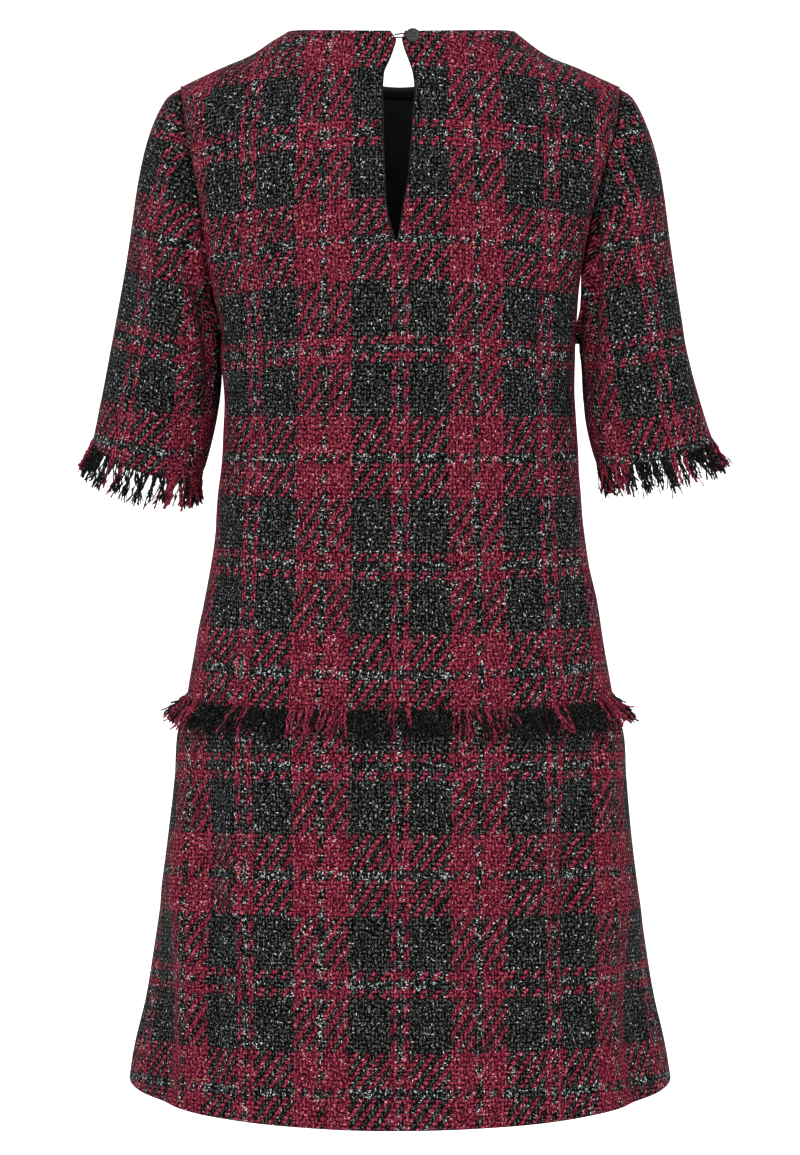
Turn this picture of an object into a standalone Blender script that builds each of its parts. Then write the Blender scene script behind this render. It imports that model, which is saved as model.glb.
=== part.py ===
# A-line dress with half sleeves, a dropped waist, frayed edges and a back keyhole.
# It is filled out as when worn, with no wearer. Metres, +Z up. The wearer faces +Y, so the
# back of the dress looks along -Y and the wearer's right is at +X. The origin lies midway
# between the two shoulder seams, where the wearer's shoulders hold the dress up.

import math

import bmesh
import bpy
import numpy as np

# Cloth
TWEED_WALL = 0.0020
LINING_WALL = 0.0010
TAPE_WALL = 0.0010
SEAM_GAP = 0.0003
HALF_GAP = SEAM_GAP / 2
WELD_DISTANCE = 0.00001

# Heights of the cut edges
WAIST_SEAM_Z = -0.5350
WAIST_LAP = 0.008       # how far the skirt runs up behind the bodice
FRINGE_FOOT_Z = -0.5560
HEM_Z = -0.8720

# Bodice sections, from the neckline down to the waist seam. Each one runs across a panel,
# from its centre line to its edge: the shoulder seam, then the armhole, then the side seam.
# Edge columns: the edge's height, its distance from the centre line on each side, and its
# distance from the side plane, where the back and the front meet.
EDGE_COLUMNS = ("z", "back_left_x", "back_right_x", "back_y", "front_x", "front_y")
EDGES = (
    (0.0228, 0.0945, 0.0970, 0.000, 0.0957, 0.000),     # neck end of the shoulder seam
    (0.0040, 0.1234, 0.1234, 0.000, 0.1234, 0.000),
    (-0.0066, 0.1493, 0.1493, 0.000, 0.1493, 0.000),
    (-0.0226, 0.1845, 0.1845, 0.000, 0.1845, 0.000),    # shoulder tip
    (-0.0320, 0.1830, 0.1835, 0.020, 0.1820, 0.020),
    (-0.0600, 0.1785, 0.1790, 0.037, 0.1750, 0.038),
    (-0.0980, 0.1702, 0.1680, 0.050, 0.1650, 0.052),
    (-0.1380, 0.1640, 0.1575, 0.053, 0.1560, 0.057),
    (-0.1860, 0.1580, 0.1500, 0.043, 0.1515, 0.048),
    (-0.2200, 0.1515, 0.1485, 0.026, 0.1500, 0.030),
    (-0.2400, 0.1490, 0.1490, 0.000, 0.1490, 0.000),    # underarm point
    (-0.2860, 0.1487, 0.1487, 0.000, 0.1487, 0.000),
    (-0.3570, 0.1530, 0.1530, 0.000, 0.1530, 0.000),
    (-0.4130, 0.1597, 0.1597, 0.000, 0.1597, 0.000),
    (-0.4700, 0.1703, 0.1703, 0.000, 0.1703, 0.000),
    (WAIST_SEAM_Z, 0.1815, 0.1815, 0.000, 0.1815, 0.000),
)
SHOULDER_TIP = 3
UNDERARM = 10
ROW_STEPS = (1, 1, 1, 1, 1, 2, 2, 2, 2, 2, 1, 1, 1, 1, 1)

# Centre columns: where the section crosses the centre back and the centre front, and how
# square the curve between centre and edge is (2 is an ellipse).
CENTRE_COLUMNS = ("back_y", "back_z", "back_power", "front_y", "front_z", "front_power")
CENTRES = (
    (-0.0700, 0.0145, 2.0, 0.0550, -0.0200, 2.0),
    (-0.0800, -0.0180, 2.1, 0.0720, -0.0480, 2.1),
    (-0.0880, -0.0480, 2.2, 0.0880, -0.0720, 2.2),
    (-0.0940, -0.0760, 2.3, 0.1010, -0.0960, 2.3),
    (-0.0965, -0.0900, 2.4, 0.1070, -0.1080, 2.4),
    (-0.0985, -0.1050, 2.4, 0.1130, -0.1220, 2.4),
    (-0.1010, -0.1350, 2.5, 0.1230, -0.1500, 2.5),
    (-0.1020, -0.1650, 2.5, 0.1300, -0.1780, 2.6),
    (-0.1010, -0.2030, 2.5, 0.1340, -0.2100, 2.6),
    (-0.0990, -0.2320, 2.5, 0.1345, -0.2360, 2.6),
    (-0.0975, -0.2520, 2.5, 0.1340, -0.2540, 2.6),
    (-0.0940, -0.2950, 2.5, 0.1290, -0.2980, 2.6),
    (-0.0915, -0.3590, 2.5, 0.1220, -0.3610, 2.5),
    (-0.0930, -0.4130, 2.5, 0.1185, -0.4140, 2.5),
    (-0.0985, -0.4700, 2.5, 0.1190, -0.4700, 2.5),
    (-0.1060, WAIST_SEAM_Z, 2.5, 0.1210, WAIST_SEAM_Z, 2.5),
)

# Skirt sections below the waist seam, down to the hem, which rises a little at the sides.
SKIRT_COLUMNS = ("z", "side_z", "side_x", "side_y", "back_y", "front_y", "power")
SKIRT = (
    (FRINGE_FOOT_Z, FRINGE_FOOT_Z, 0.1870, 0.001, -0.1100, 0.1240, 2.5),
    (-0.6040, -0.6030, 0.1920, 0.004, -0.1150, 0.1275, 2.5),
    (-0.6500, -0.6490, 0.1973, 0.007, -0.1200, 0.1310, 2.4),
    (-0.7000, -0.6980, 0.2042, 0.010, -0.1255, 0.1350, 2.4),
    (-0.7500, -0.7470, 0.2118, 0.013, -0.1310, 0.1390, 2.4),
    (-0.8000, -0.7960, 0.2200, 0.016, -0.1370, 0.1440, 2.3),
    (-0.8400, -0.8340, 0.2285, 0.019, -0.1420, 0.1480, 2.2),
    (HEM_Z, -0.8640, 0.2340, 0.020, -0.1450, 0.1500, 2.2),
)
HALF_COLUMNS = 11       # strips from a panel's centre line to its edge
SECTION_SAMPLES = 120   # points that a section is first worked out at

# Large soft folds of the skirt: the line of each trough as (x, z) at its top and bottom,
# its half width and its depth.
FOLD_COLUMNS = ("x_top", "z_top", "x_low", "z_low", "spread", "depth")
BACK_FOLDS = (
    (-0.158, -0.570, -0.160, -0.850, 0.020, 0.007),
    (-0.203, -0.740, -0.210, -0.960, 0.018, 0.014),
    (0.164, -0.565, 0.140, -0.800, 0.020, 0.008),
    (0.204, -0.760, 0.209, -0.960, 0.018, 0.012),
)
FRONT_FOLDS = (
    (-0.150, -0.600, -0.165, -0.900, 0.024, 0.007),
    (0.060, -0.660, 0.070, -0.900, 0.024, 0.005),
    (0.155, -0.580, 0.150, -0.840, 0.020, 0.007),
)
FOLD_FADE = 0.06        # length over which a fold dies out at either end

# Sleeves, one row each: the cuff's centre, half width and half depth, the tilt of the cuff
# up towards the outside and up towards the front, the lean of the lower sleeve from upright,
# all three in degrees, and how far the sleeve leans away as it leaves the underarm.
SLEEVE_COLUMNS = (
    "side", "x", "y", "z", "half_width", "half_depth", "tilt", "pitch", "lean", "under_lean")
SLEEVES = {
    "left": (-1, 0.2154, 0.022, -0.3340, 0.0488, 0.0500, 17.6, 12.0, 15.6, 0.06),
    "right": (1, 0.2167, 0.012, -0.3295, 0.0502, 0.0500, 12.2, 4.0, 21.0, 0.30),
}
SLEEVE_ROWS = 9
CAP_LEAN = 1.13         # outward lean of the sleeve head at the shoulder tip, to its drop
SIDE_LEAN = 0.66        # the same half way down the armhole
CAP_SWELL = 0.40        # how far it swells to the front and the back there
CAP_REACH = 0.20        # how far the sleeve head runs on from the armhole, of its length
CUFF_REACH = 0.43       # how long the lower sleeve runs straight to the cuff, of its length
FOREARM_PITCH = 5.0     # lean of the lower sleeve to the front, degrees
ARMHOLE_SLANT = 0.4     # how far the walls of the armhole's upper half slant outwards

# Frayed edges
WAIST_FRINGE_FLARE = 0.0035
CUFF_FRINGE_DROP = 0.025
CUFF_FRINGE_FLARE = 0.0040

# Inside of the front neckline
LINING_ROWS = 14        # bodice rows that the lining covers
LINING_MARGIN = 5       # panel strips left bare at either side
TAPE_WIDTH = 0.0070

# Keyhole at the centre back: height, left edge and right edge of the opening.
KEYHOLE_COLUMNS = ("z", "left", "right")
KEYHOLE = (
    (0.0300, -0.0040, 0.0020),
    (0.0136, -0.0047, 0.0025),
    (0.0021, -0.0061, 0.0045),
    (-0.0069, -0.0094, 0.0078),
    (-0.0151, -0.0131, 0.0105),
    (-0.0233, -0.0141, 0.0119),
    (-0.0534, -0.0137, 0.0106),
    (-0.0803, -0.0135, 0.0086),
    (-0.1074, -0.0121, 0.0061),
    (-0.1279, -0.0108, 0.0023),
    (-0.1417, -0.0074, 0.0004),
    (-0.1530, -0.0040, -0.0020),
)
KEYHOLE_CUT_Y = -0.110
KEYHOLE_CUT_HALF = 0.060

# Closing of the keyhole: a button on a thread stem, held by an elastic loop.
BUTTON_X = 0.0104
BUTTON_Z = 0.0126
BUTTON_RADIUS = 0.0058
BUTTON_THICK = 0.0022
BUTTON_RIM = 0.0011
BUTTON_RIM_SLOPE = 0.0003
BUTTON_DISH = 0.0005
BUTTON_ROUND = 0.0005   # bevel of its outer edges
BUTTON_STEPS = 24
BUTTON_HOLE_STEPS = 10
BUTTON_HOLE_COUNT = 4
BUTTON_HOLE_RADIUS = 0.0006
BUTTON_HOLE_OFFSET = 0.0012
STEM_RADIUS = 0.0012
STEM_LENGTH = 0.0023
LOOP_RADIUS = 0.0006
LOOP_REST = 0.0014      # height of the loop's strands over the cloth
LOOP_ROOT_SINK = 0.0010  # depth of its two ends in the keyhole's edge
LOOP_ROOT_X = -0.0046
LOOP_ROOT_Z = 0.0116
LOOP_ROOT_SPREAD = 0.0012
LOOP_CREST_X = 0.0016   # where its strands have risen clear of the other edge
LOOP_CREST_SPREAD = 0.0016
LOOP_TURN_STEPS = 8

COLOURS = {
    "tweed": (0.105, 0.022, 0.036),
    "fringe": (0.130, 0.026, 0.042),
    "lining": (0.010, 0.010, 0.011),
    "tape": (0.016, 0.016, 0.018),
    "button": (0.012, 0.012, 0.012),
    "thread": (0.020, 0.018, 0.018),
    "elastic": (0.014, 0.014, 0.015),
}


# Tables and curves

def columns(table, names):
    """A table's columns as arrays, by name."""
    values = np.array(table, dtype=float)
    return {name: values[:, index] for index, name in enumerate(names)}


def through(knots, values, at):
    """A smooth curve through values at the knots, read at the places given."""
    slopes = np.gradient(values, knots, axis=0)
    index = np.clip(np.searchsorted(knots, at, side="right") - 1, 0, len(knots) - 2)
    width = knots[index + 1] - knots[index]
    part = (at - knots[index]) / width
    shape = (-1,) + (1,) * (values.ndim - 1)
    part = part.reshape(shape)
    width = width.reshape(shape)
    rise = part * part * (3 - 2 * part)
    return (values[index] * (1 - rise) + values[index + 1] * rise
            + slopes[index] * width * part * (1 - part) ** 2
            - slopes[index + 1] * width * part ** 2 * (1 - part))


def row_places():
    """Fractional table rows at which the bodice grid has its rows."""
    places = [0.0]
    for index, steps in enumerate(ROW_STEPS):
        places += [index + (step + 1) / steps for step in range(steps)]
    return np.array(places)


def with_corners(values, places):
    """Rows read smoothly within shoulder, armhole and side, with corners between them."""
    result = np.empty((len(places),) + values.shape[1:])
    last = len(values) - 1
    for start, end in ((0, SHOULDER_TIP), (SHOULDER_TIP, UNDERARM), (UNDERARM, last)):
        inside = (places >= start) & (places <= end)
        knots = np.arange(start, end + 1, dtype=float)
        result[inside] = through(knots, values[start:end + 1], places[inside])
    return result


def evenly(points, count):
    """A polyline read again at equal steps of its length."""
    lengths = np.linalg.norm(np.diff(points, axis=0), axis=1)
    along = np.concatenate(([0.0], np.cumsum(lengths)))
    at = np.linspace(0.0, along[-1], count)
    return np.stack([np.interp(at, along, points[:, axis]) for axis in range(3)], axis=1)


def section(edge, centre, power, side_y=0.0):
    """Half a section, from the centre line round to the panel's edge, on a superellipse."""
    depth = abs((edge[1] - side_y) / (centre[0] - side_y))
    angle = np.linspace(0.0, math.acos(depth ** (power / 2)), SECTION_SAMPLES)
    across = np.sin(angle) ** (2 / power)
    back = 1 - np.maximum(np.cos(angle), 0.0) ** (2 / power)
    climb = np.sin(angle) ** 2
    share = np.stack((across / across[-1], back / back[-1], climb / climb[-1]), axis=1)
    start = np.array((0.0, centre[0], centre[1]))
    return evenly(start + share * (np.array(edge) - start), HALF_COLUMNS + 1)


def full_row(left, right, facing):
    """Both halves of a section, run counter-clockwise as seen from above."""
    mirrored = left[:0:-1] * np.array((-1.0, 1.0, 1.0))
    row = np.concatenate((mirrored, right))
    return row if facing < 0 else row[::-1]


# Panels

def bodice_panel(name, facing):
    """Outer surface of the back (facing -1) or front (facing 1) of the bodice."""
    places = row_places()
    edges = columns(with_corners(np.array(EDGES), places), EDGE_COLUMNS)
    knots = np.arange(len(CENTRES), dtype=float)
    centres = columns(through(knots, np.array(CENTRES), places), CENTRE_COLUMNS)
    widths = {
        "back": (edges["back_left_x"], edges["back_right_x"]),
        "front": (edges["front_x"], edges["front_x"]),
    }
    rows = []
    for index in range(len(places)):
        depth = max(edges[name + "_y"][index], HALF_GAP)
        centre = (centres[name + "_y"][index], centres[name + "_z"][index])
        power = centres[name + "_power"][index]
        halves = [section((width[index], facing * depth, edges["z"][index]), centre, power)
                  for width in widths[name]]
        rows.append(full_row(*halves, facing))
    return np.array(rows)


def skirt_panel(name, facing, bodice):
    """Outer surface of a skirt panel, tucked behind the bodice's lower edge."""
    rows = [bodice_row_above(bodice, WAIST_LAP), bodice[-1]]
    tucked = np.array(rows) - (TWEED_WALL + SEAM_GAP) * bodice_spread(bodice)[-1]
    tucked[:, (0, -1), 1] = facing * HALF_GAP
    table = columns(SKIRT, SKIRT_COLUMNS)
    lower = []
    for index in range(len(SKIRT)):
        edge = (table["side_x"][index], table["side_y"][index] + facing * HALF_GAP,
                table["side_z"][index])
        centre = (table[name + "_y"][index], table["z"][index])
        half = section(edge, centre, table["power"][index], table["side_y"][index])
        lower.append(full_row(half, half, facing))
    return np.concatenate((tucked, np.array(lower)))


def bodice_row_above(bodice, rise):
    """The bodice's points at a height over its lower edge."""
    drop = bodice[-1] - bodice[-2]
    return bodice[-1] - drop * (rise / np.linalg.norm(drop, axis=1, keepdims=True))


def with_folds(points, folds):
    """The surface pushed in along the troughs of its soft folds."""
    moved = points.copy()
    inwards = -normals(points)
    side_fade = np.sin(np.linspace(0.0, math.pi, points.shape[1])) ** 0.5
    for row in folds:
        fold = dict(zip(FOLD_COLUMNS, row))
        run = (points[..., 2] - fold["z_top"]) / (fold["z_low"] - fold["z_top"])
        middle = fold["x_top"] + (fold["x_low"] - fold["x_top"]) * run
        across = np.exp(-((points[..., 0] - middle) / fold["spread"]) ** 2)
        length = fold["z_top"] - fold["z_low"]
        ends = np.clip(run * length / FOLD_FADE, 0, 1) * np.clip((1 - run) * length / FOLD_FADE, 0, 1)
        amount = fold["depth"] * across * ends * side_fade
        moved += inwards * amount[..., None]
    return moved


def normals(points, closed=False):
    """Outward unit normals of a grid whose rows run down and columns counter-clockwise."""
    down = np.gradient(points, axis=0)
    if closed:
        along = (np.roll(points, -1, axis=1) - np.roll(points, 1, axis=1)) / 2
    else:
        along = np.gradient(points, axis=1)
    across = np.cross(down, along)
    return across / np.linalg.norm(across, axis=2, keepdims=True)


def unit(vectors):
    return vectors / np.linalg.norm(vectors, axis=-1, keepdims=True)


def seam_spread(edge, own):
    """Directions in which the walls of an armhole seam gain their thickness."""
    middle_z = (edge[0, 2] + edge[-1, 2]) / 2
    outwards = unit(np.stack((np.zeros(len(edge)), edge[:, 1], edge[:, 2] - middle_z), axis=1))
    side = math.copysign(1.0, edge[0, 0])
    outwards[:, 0] = side * ARMHOLE_SLANT * np.clip(1 + outwards[:, 2], 0, 1)
    low = np.maximum(-outwards[:, 2], 0)[:, None]
    return unit(unit(outwards) + low * own)


def bodice_spread(points):
    """Wall directions of a bodice panel, shared with its neighbours along every seam."""
    spread = normals(points)
    tip, under = armhole_rows()
    for column in (0, -1):
        flat = spread[:, column] * np.array((1.0, 0.0, 1.0))
        spread[:, column] = unit(flat)
        own = spread[tip:under + 1, column]
        spread[tip:under + 1, column] = seam_spread(points[tip:under + 1, column], own)
        spread[tip, column, 1] = 0
        spread[under, column, 1] = 0
    spread[-1, :, 2] = 0
    return unit(spread)


def armhole_rows():
    """Grid rows of the shoulder tip and of the underarm point."""
    places = row_places()
    return int(np.searchsorted(places, SHOULDER_TIP)), int(np.searchsorted(places, UNDERARM))


def skirt_spread(points):
    """Wall directions of a skirt panel, square to its side seams and level at the waist."""
    spread = normals(points)
    spread[:, (0, -1), 1] = 0
    spread[:2, :, 2] = 0
    return unit(spread)


# Sleeves

def armhole_loop(back, front, side):
    """The armhole's points, counter-clockwise from the shoulder tip, and where each lies."""
    tip, under = armhole_rows()
    column_back = -1 if side > 0 else 0
    column_front = 0 if side > 0 else -1
    behind = back[tip:under + 1, column_back]
    before = front[tip:under + 1, column_front]
    for half in (behind, before):
        half[(0, -1), 1] = 0.0
    first, second = (before, behind) if side > 0 else (behind, before)
    return np.concatenate((first, second[-2:0:-1]))


def around(loop):
    """Angle round the sleeve of each armhole point, 0 at the tip and half way at the underarm."""
    half = len(loop) // 2
    closed = np.concatenate((loop, loop[:1]))
    along = np.concatenate(([0.0], np.cumsum(np.linalg.norm(np.diff(closed, axis=0), axis=1))))
    first = along[:half] / along[half]
    second = 1 + (along[half:-1] - along[half]) / (along[-1] - along[half])
    return math.pi * np.concatenate((first, second))


def sleeve_panel(back, front, name):
    """Outer surface of a sleeve, from just off the armhole down to the cuff."""
    cut = dict(zip(SLEEVE_COLUMNS, SLEEVES[name]))
    side = cut["side"]
    loop = armhole_loop(back.copy(), front.copy(), side)
    angle = around(loop)
    middle_z = (loop[0, 2] + loop[len(loop) // 2, 2]) / 2
    radial = unit(np.stack((np.zeros(len(loop)), loop[:, 1], loop[:, 2] - middle_z), axis=1))
    start = loop + np.array((side * SEAM_GAP, 0.0, 0.0))

    tilt = math.radians(cut["tilt"])
    pitch = math.radians(cut["pitch"])
    outward = np.array((side * math.cos(tilt), 0.0, math.sin(tilt))) * cut["half_width"]
    forward = np.array((0.0, math.cos(pitch), math.sin(pitch))) * cut["half_depth"]
    centre = np.array((side * cut["x"], cut["y"], cut["z"]))
    end = centre + np.outer(np.cos(angle), outward) + np.outer(side * np.sin(angle), forward)

    height = radial[:, 2]
    outer_lean = SIDE_LEAN + (CAP_LEAN - SIDE_LEAN) * height
    inner_lean = SIDE_LEAN + (SIDE_LEAN - cut["under_lean"]) * height
    away = side * np.where(height > 0, outer_lean, inner_lean)
    leave = unit(np.stack((away, CAP_SWELL * radial[:, 1], -np.ones(len(loop))), axis=1))
    lean = math.radians(cut["lean"])
    arrive = unit(np.array((side * math.sin(lean), math.sin(math.radians(FOREARM_PITCH)),
                            -math.cos(lean))))
    reach = np.linalg.norm(end - start, axis=1, keepdims=True)
    after = start + leave * reach * CAP_REACH
    before = end - arrive * reach * CUFF_REACH
    rows = []
    for t in np.linspace(0.0, 1.0, SLEEVE_ROWS + 1):
        rows.append(start * (1 - t) ** 3 + after * 3 * t * (1 - t) ** 2
                    + before * 3 * t ** 2 * (1 - t) + end * t ** 3)
    return np.array(rows)


def sleeve_spread(points):
    """Wall directions of a sleeve, shared with the bodice along the armhole."""
    spread = normals(points, closed=True)
    half = points.shape[1] // 2
    edge = points[0]
    first = seam_spread(edge[:half + 1], spread[0, :half + 1])
    second = seam_spread(np.concatenate((edge[:1], edge[:half - 1:-1])),
                         np.concatenate((spread[0, :1], spread[0, :half - 1:-1])))
    spread[0, :half + 1] = first
    spread[0, half + 1:] = second[1:-1][::-1]
    return unit(spread)


# Solids

def clear_scene():
    for item in list(bpy.data.objects):
        bpy.data.objects.remove(item, do_unlink=True)


def make_collection(name):
    collection = bpy.data.collections.new(name)
    bpy.context.scene.collection.children.link(collection)
    return collection


def make_material(name, finish, roughness):
    material = bpy.data.materials.new(name)
    material.use_nodes = True
    shader = material.node_tree.nodes["Principled BSDF"]
    shader.inputs["Base Color"].default_value = (*COLOURS[finish], 1.0)
    shader.inputs["Roughness"].default_value = roughness
    shader.inputs["Metallic"].default_value = 0.0
    return material


def add_object(name, mesh, collection, finish, roughness=0.9):
    item = bpy.data.objects.new(name, mesh)
    collection.objects.link(item)
    if finish:
        mesh.materials.append(make_material(name + "_" + finish, finish, roughness))
    return item


def wall_mesh(name, outer, inner, closed=False):
    """A closed wall between two grids of the same shape, open round its ends if closed."""
    rows, cols = outer.shape[:2]
    points = np.concatenate((outer.reshape(-1, 3), inner.reshape(-1, 3)))
    inside = rows * cols

    def at(row, col, layer):
        return layer * inside + row * cols + col % cols

    faces = []
    strips = cols if closed else cols - 1
    for row in range(rows - 1):
        for col in range(strips):
            corner = (at(row, col, 0), at(row + 1, col, 0), at(row + 1, col + 1, 0), at(row, col + 1, 0))
            faces.append((corner[0], corner[1], corner[2]))
            faces.append((corner[0], corner[2], corner[3]))
            corner = (at(row, col, 1), at(row + 1, col, 1), at(row + 1, col + 1, 1), at(row, col + 1, 1))
            faces.append((corner[0], corner[2], corner[1]))
            faces.append((corner[0], corner[3], corner[2]))
    for col in range(strips):
        faces.append((at(0, col, 0), at(0, col + 1, 0), at(0, col + 1, 1), at(0, col, 1)))
        low = rows - 1
        faces.append((at(low, col, 0), at(low, col, 1), at(low, col + 1, 1), at(low, col + 1, 0)))
    if not closed:
        last = cols - 1
        for row in range(rows - 1):
            faces.append((at(row, 0, 0), at(row, 0, 1), at(row + 1, 0, 1), at(row + 1, 0, 0)))
            faces.append((at(row, last, 0), at(row + 1, last, 0), at(row + 1, last, 1), at(row, last, 1)))
    mesh = bpy.data.meshes.new(name)
    mesh.from_pydata(points.tolist(), [], faces)
    mesh.update()
    shape = bmesh.new()
    shape.from_mesh(mesh)
    bmesh.ops.recalc_face_normals(shape, faces=shape.faces)
    shape.to_mesh(mesh)
    shape.free()
    return mesh


def mesh_from_curve(curve_object, name, collection, finish):
    """The evaluated curve as a welded mesh object in the same place."""
    bpy.context.view_layer.update()
    evaluated = curve_object.evaluated_get(bpy.context.evaluated_depsgraph_get())
    mesh = bpy.data.meshes.new_from_object(evaluated)
    shape = bmesh.new()
    shape.from_mesh(mesh)
    bmesh.ops.remove_doubles(shape, verts=shape.verts, dist=WELD_DISTANCE)
    shape.to_mesh(mesh)
    shape.free()
    item = add_object(name, mesh, collection, finish)
    item.matrix_world = curve_object.matrix_world
    bpy.data.objects.remove(curve_object, do_unlink=True)
    return item


def as_cutter(item):
    item.hide_render = True
    item.display_type = "WIRE"


def cut(item, cutter):
    step = item.modifiers.new("cut_" + cutter.name, "BOOLEAN")
    step.operation = "DIFFERENCE"
    step.solver = "EXACT"
    step.object = cutter


def make_keyhole_cutter(cutters):
    """The keyhole's outline, drawn flat and run through the centre back."""
    table = columns(KEYHOLE, KEYHOLE_COLUMNS)
    outline = list(zip(table["left"], table["z"])) + list(zip(table["right"], table["z"]))[::-1]
    curve = bpy.data.curves.new("keyhole_outline", "CURVE")
    curve.dimensions = "2D"
    curve.fill_mode = "BOTH"
    curve.extrude = KEYHOLE_CUT_HALF
    line = curve.splines.new("POLY")
    line.points.add(len(outline) - 1)
    for point, (x, z) in zip(line.points, outline):
        point.co = (x, z, 0.0, 1.0)
    line.use_cyclic_u = True
    drawn = bpy.data.objects.new("keyhole_outline", curve)
    cutters.objects.link(drawn)
    drawn.location = (0.0, KEYHOLE_CUT_Y, 0.0)
    drawn.rotation_euler = (math.radians(90), 0.0, 0.0)
    cutter = mesh_from_curve(drawn, "keyhole_cutter", cutters, None)
    as_cutter(cutter)
    return cutter


def make_waist_fringe(name, skirt, spread, parts):
    """The plain reach of the frayed lower edge of the bodice, lying over the skirt."""
    top = skirt[1].copy()
    top[:, 2] -= SEAM_GAP
    foot = skirt[2]
    inner = np.stack((top, foot)) + SEAM_GAP * spread[1:3]
    outer = inner + TWEED_WALL * spread[1:3]
    flare = WAIST_FRINGE_FLARE * spread[2]
    inner[1] += flare
    outer[1] += flare
    return add_object(name, wall_mesh(name, outer, inner), parts, "fringe")


def make_cuff_fringe(name, sleeve, spread, parts):
    """The plain reach of the frayed cuff, a short tube below the sleeve."""
    run = unit(sleeve[-1] - sleeve[-2])
    top = sleeve[-1] + SEAM_GAP * run
    foot = top + CUFF_FRINGE_DROP * run + CUFF_FRINGE_FLARE * spread[-1]
    outer = np.stack((top, foot))
    inner = outer - TWEED_WALL * spread[-1]
    return add_object(name, wall_mesh(name, outer, inner, closed=True), parts, "fringe")


def make_lining(front, spread, parts):
    """The lining behind the front neckline, seen through the keyhole."""
    cols = slice(LINING_MARGIN, front.shape[1] - LINING_MARGIN)
    cloth = front[:LINING_ROWS, cols]
    away = spread[:LINING_ROWS, cols]
    outer = cloth - (TWEED_WALL + SEAM_GAP) * away
    inner = outer - LINING_WALL * away
    return add_object("lining_front", wall_mesh("lining_front", outer, inner), parts, "lining", 0.6)


def make_neck_tape(front, spread, parts):
    """The narrow tape that covers the inside of the front neckline."""
    cols = slice(LINING_MARGIN, front.shape[1] - LINING_MARGIN)
    top = front[0, cols]
    run = front[1, cols] - top
    low = top + run * (TAPE_WIDTH / np.linalg.norm(run, axis=1, keepdims=True))
    share = TAPE_WIDTH / np.linalg.norm(run, axis=1, keepdims=True)
    away = np.stack((spread[0, cols], unit(spread[0, cols] * (1 - share) + spread[1, cols] * share)))
    outer = np.stack((top, low)) - (TWEED_WALL + 2 * SEAM_GAP + LINING_WALL) * away
    inner = outer - TAPE_WALL * away
    return add_object("neck_tape_front", wall_mesh("neck_tape_front", outer, inner), parts, "tape", 0.7)


# Closing

def closing_frame(back):
    """Where the closing sits on the centre back, and the cloth's outward direction there."""
    middle = back.shape[1] // 2
    upper = back[0, middle]
    lower = back[1, middle]
    share = (upper[2] - BUTTON_Z) / (upper[2] - lower[2])
    foot = upper + (lower - upper) * share
    run = unit(lower - upper)
    outward = np.array((0.0, run[2], -run[1]))
    return foot, outward * math.copysign(1.0, -outward[1])


def place(foot, outward, x, rise, height):
    """A point near the closing: x across, rise up along the cloth, height off the cloth."""
    upward = np.array((0.0, -outward[2], outward[1])) * math.copysign(1.0, -outward[1])
    return np.array((x, foot[1], foot[2])) + outward * height + upward * rise


def make_button(foot, outward, parts, cutters):
    """A dished button with a raised rim and four holes."""
    lift = SEAM_GAP + STEM_LENGTH + SEAM_GAP
    face = BUTTON_THICK - BUTTON_DISH
    edge = BUTTON_RADIUS
    profile = (
        (0.0, face),
        (edge - BUTTON_RIM - BUTTON_RIM_SLOPE, face),
        (edge - BUTTON_RIM, BUTTON_THICK),
        (edge - BUTTON_ROUND, BUTTON_THICK),
        (edge, BUTTON_THICK - BUTTON_ROUND),
        (edge, BUTTON_ROUND),
        (edge - BUTTON_ROUND, 0.0),
        (0.0, 0.0),
    )
    mesh = bpy.data.meshes.new("button")
    edges = [(index, index + 1) for index in range(len(profile) - 1)]
    mesh.from_pydata([(radius, 0.0, height) for radius, height in profile], edges, [])
    button = add_object("button", mesh, parts, "button", 0.45)
    turn = button.modifiers.new("turn", "SCREW")
    turn.steps = BUTTON_STEPS
    turn.render_steps = BUTTON_STEPS
    turn.use_merge_vertices = True
    turn.merge_threshold = WELD_DISTANCE
    lean = math.atan2(outward[2], -outward[1])
    button.location = place(foot, outward, BUTTON_X, 0.0, lift).tolist()
    button.rotation_euler = (math.radians(90) - lean, 0.0, 0.0)
    for index in range(BUTTON_HOLE_COUNT):
        angle = 2 * math.pi * (index + 0.5) / BUTTON_HOLE_COUNT
        bpy.ops.mesh.primitive_cylinder_add(
            vertices=BUTTON_HOLE_STEPS, radius=BUTTON_HOLE_RADIUS, depth=4 * BUTTON_THICK)
        hole = bpy.context.active_object
        hole.name = "button_hole_%d" % index
        for owner in list(hole.users_collection):
            owner.objects.unlink(hole)
        cutters.objects.link(hole)
        hole.parent = button
        hole.location = (BUTTON_HOLE_OFFSET * math.cos(angle), BUTTON_HOLE_OFFSET * math.sin(angle), 0.0)
        as_cutter(hole)
        cut(button, hole)
    return button


def make_tube(name, points, radius, finish, parts, resolution=2):
    """A thread or cord: a curve with a round bevel and filled ends."""
    curve = bpy.data.curves.new(name, "CURVE")
    curve.dimensions = "3D"
    curve.bevel_depth = radius
    curve.bevel_resolution = resolution
    curve.use_fill_caps = True
    curve.resolution_u = 1
    line = curve.splines.new("POLY")
    line.points.add(len(points) - 1)
    for point, place_at in zip(line.points, points):
        point.co = (*place_at, 1.0)
    item = bpy.data.objects.new(name, curve)
    parts.objects.link(item)
    curve.materials.append(make_material(name + "_" + finish, finish, 0.8))
    return item


def make_stem(foot, outward, parts):
    """The thread stem between cloth and button."""
    ends = (place(foot, outward, BUTTON_X, 0.0, SEAM_GAP),
            place(foot, outward, BUTTON_X, 0.0, SEAM_GAP + STEM_LENGTH))
    return make_tube("button_stem", ends, STEM_RADIUS, "thread", parts)


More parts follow.
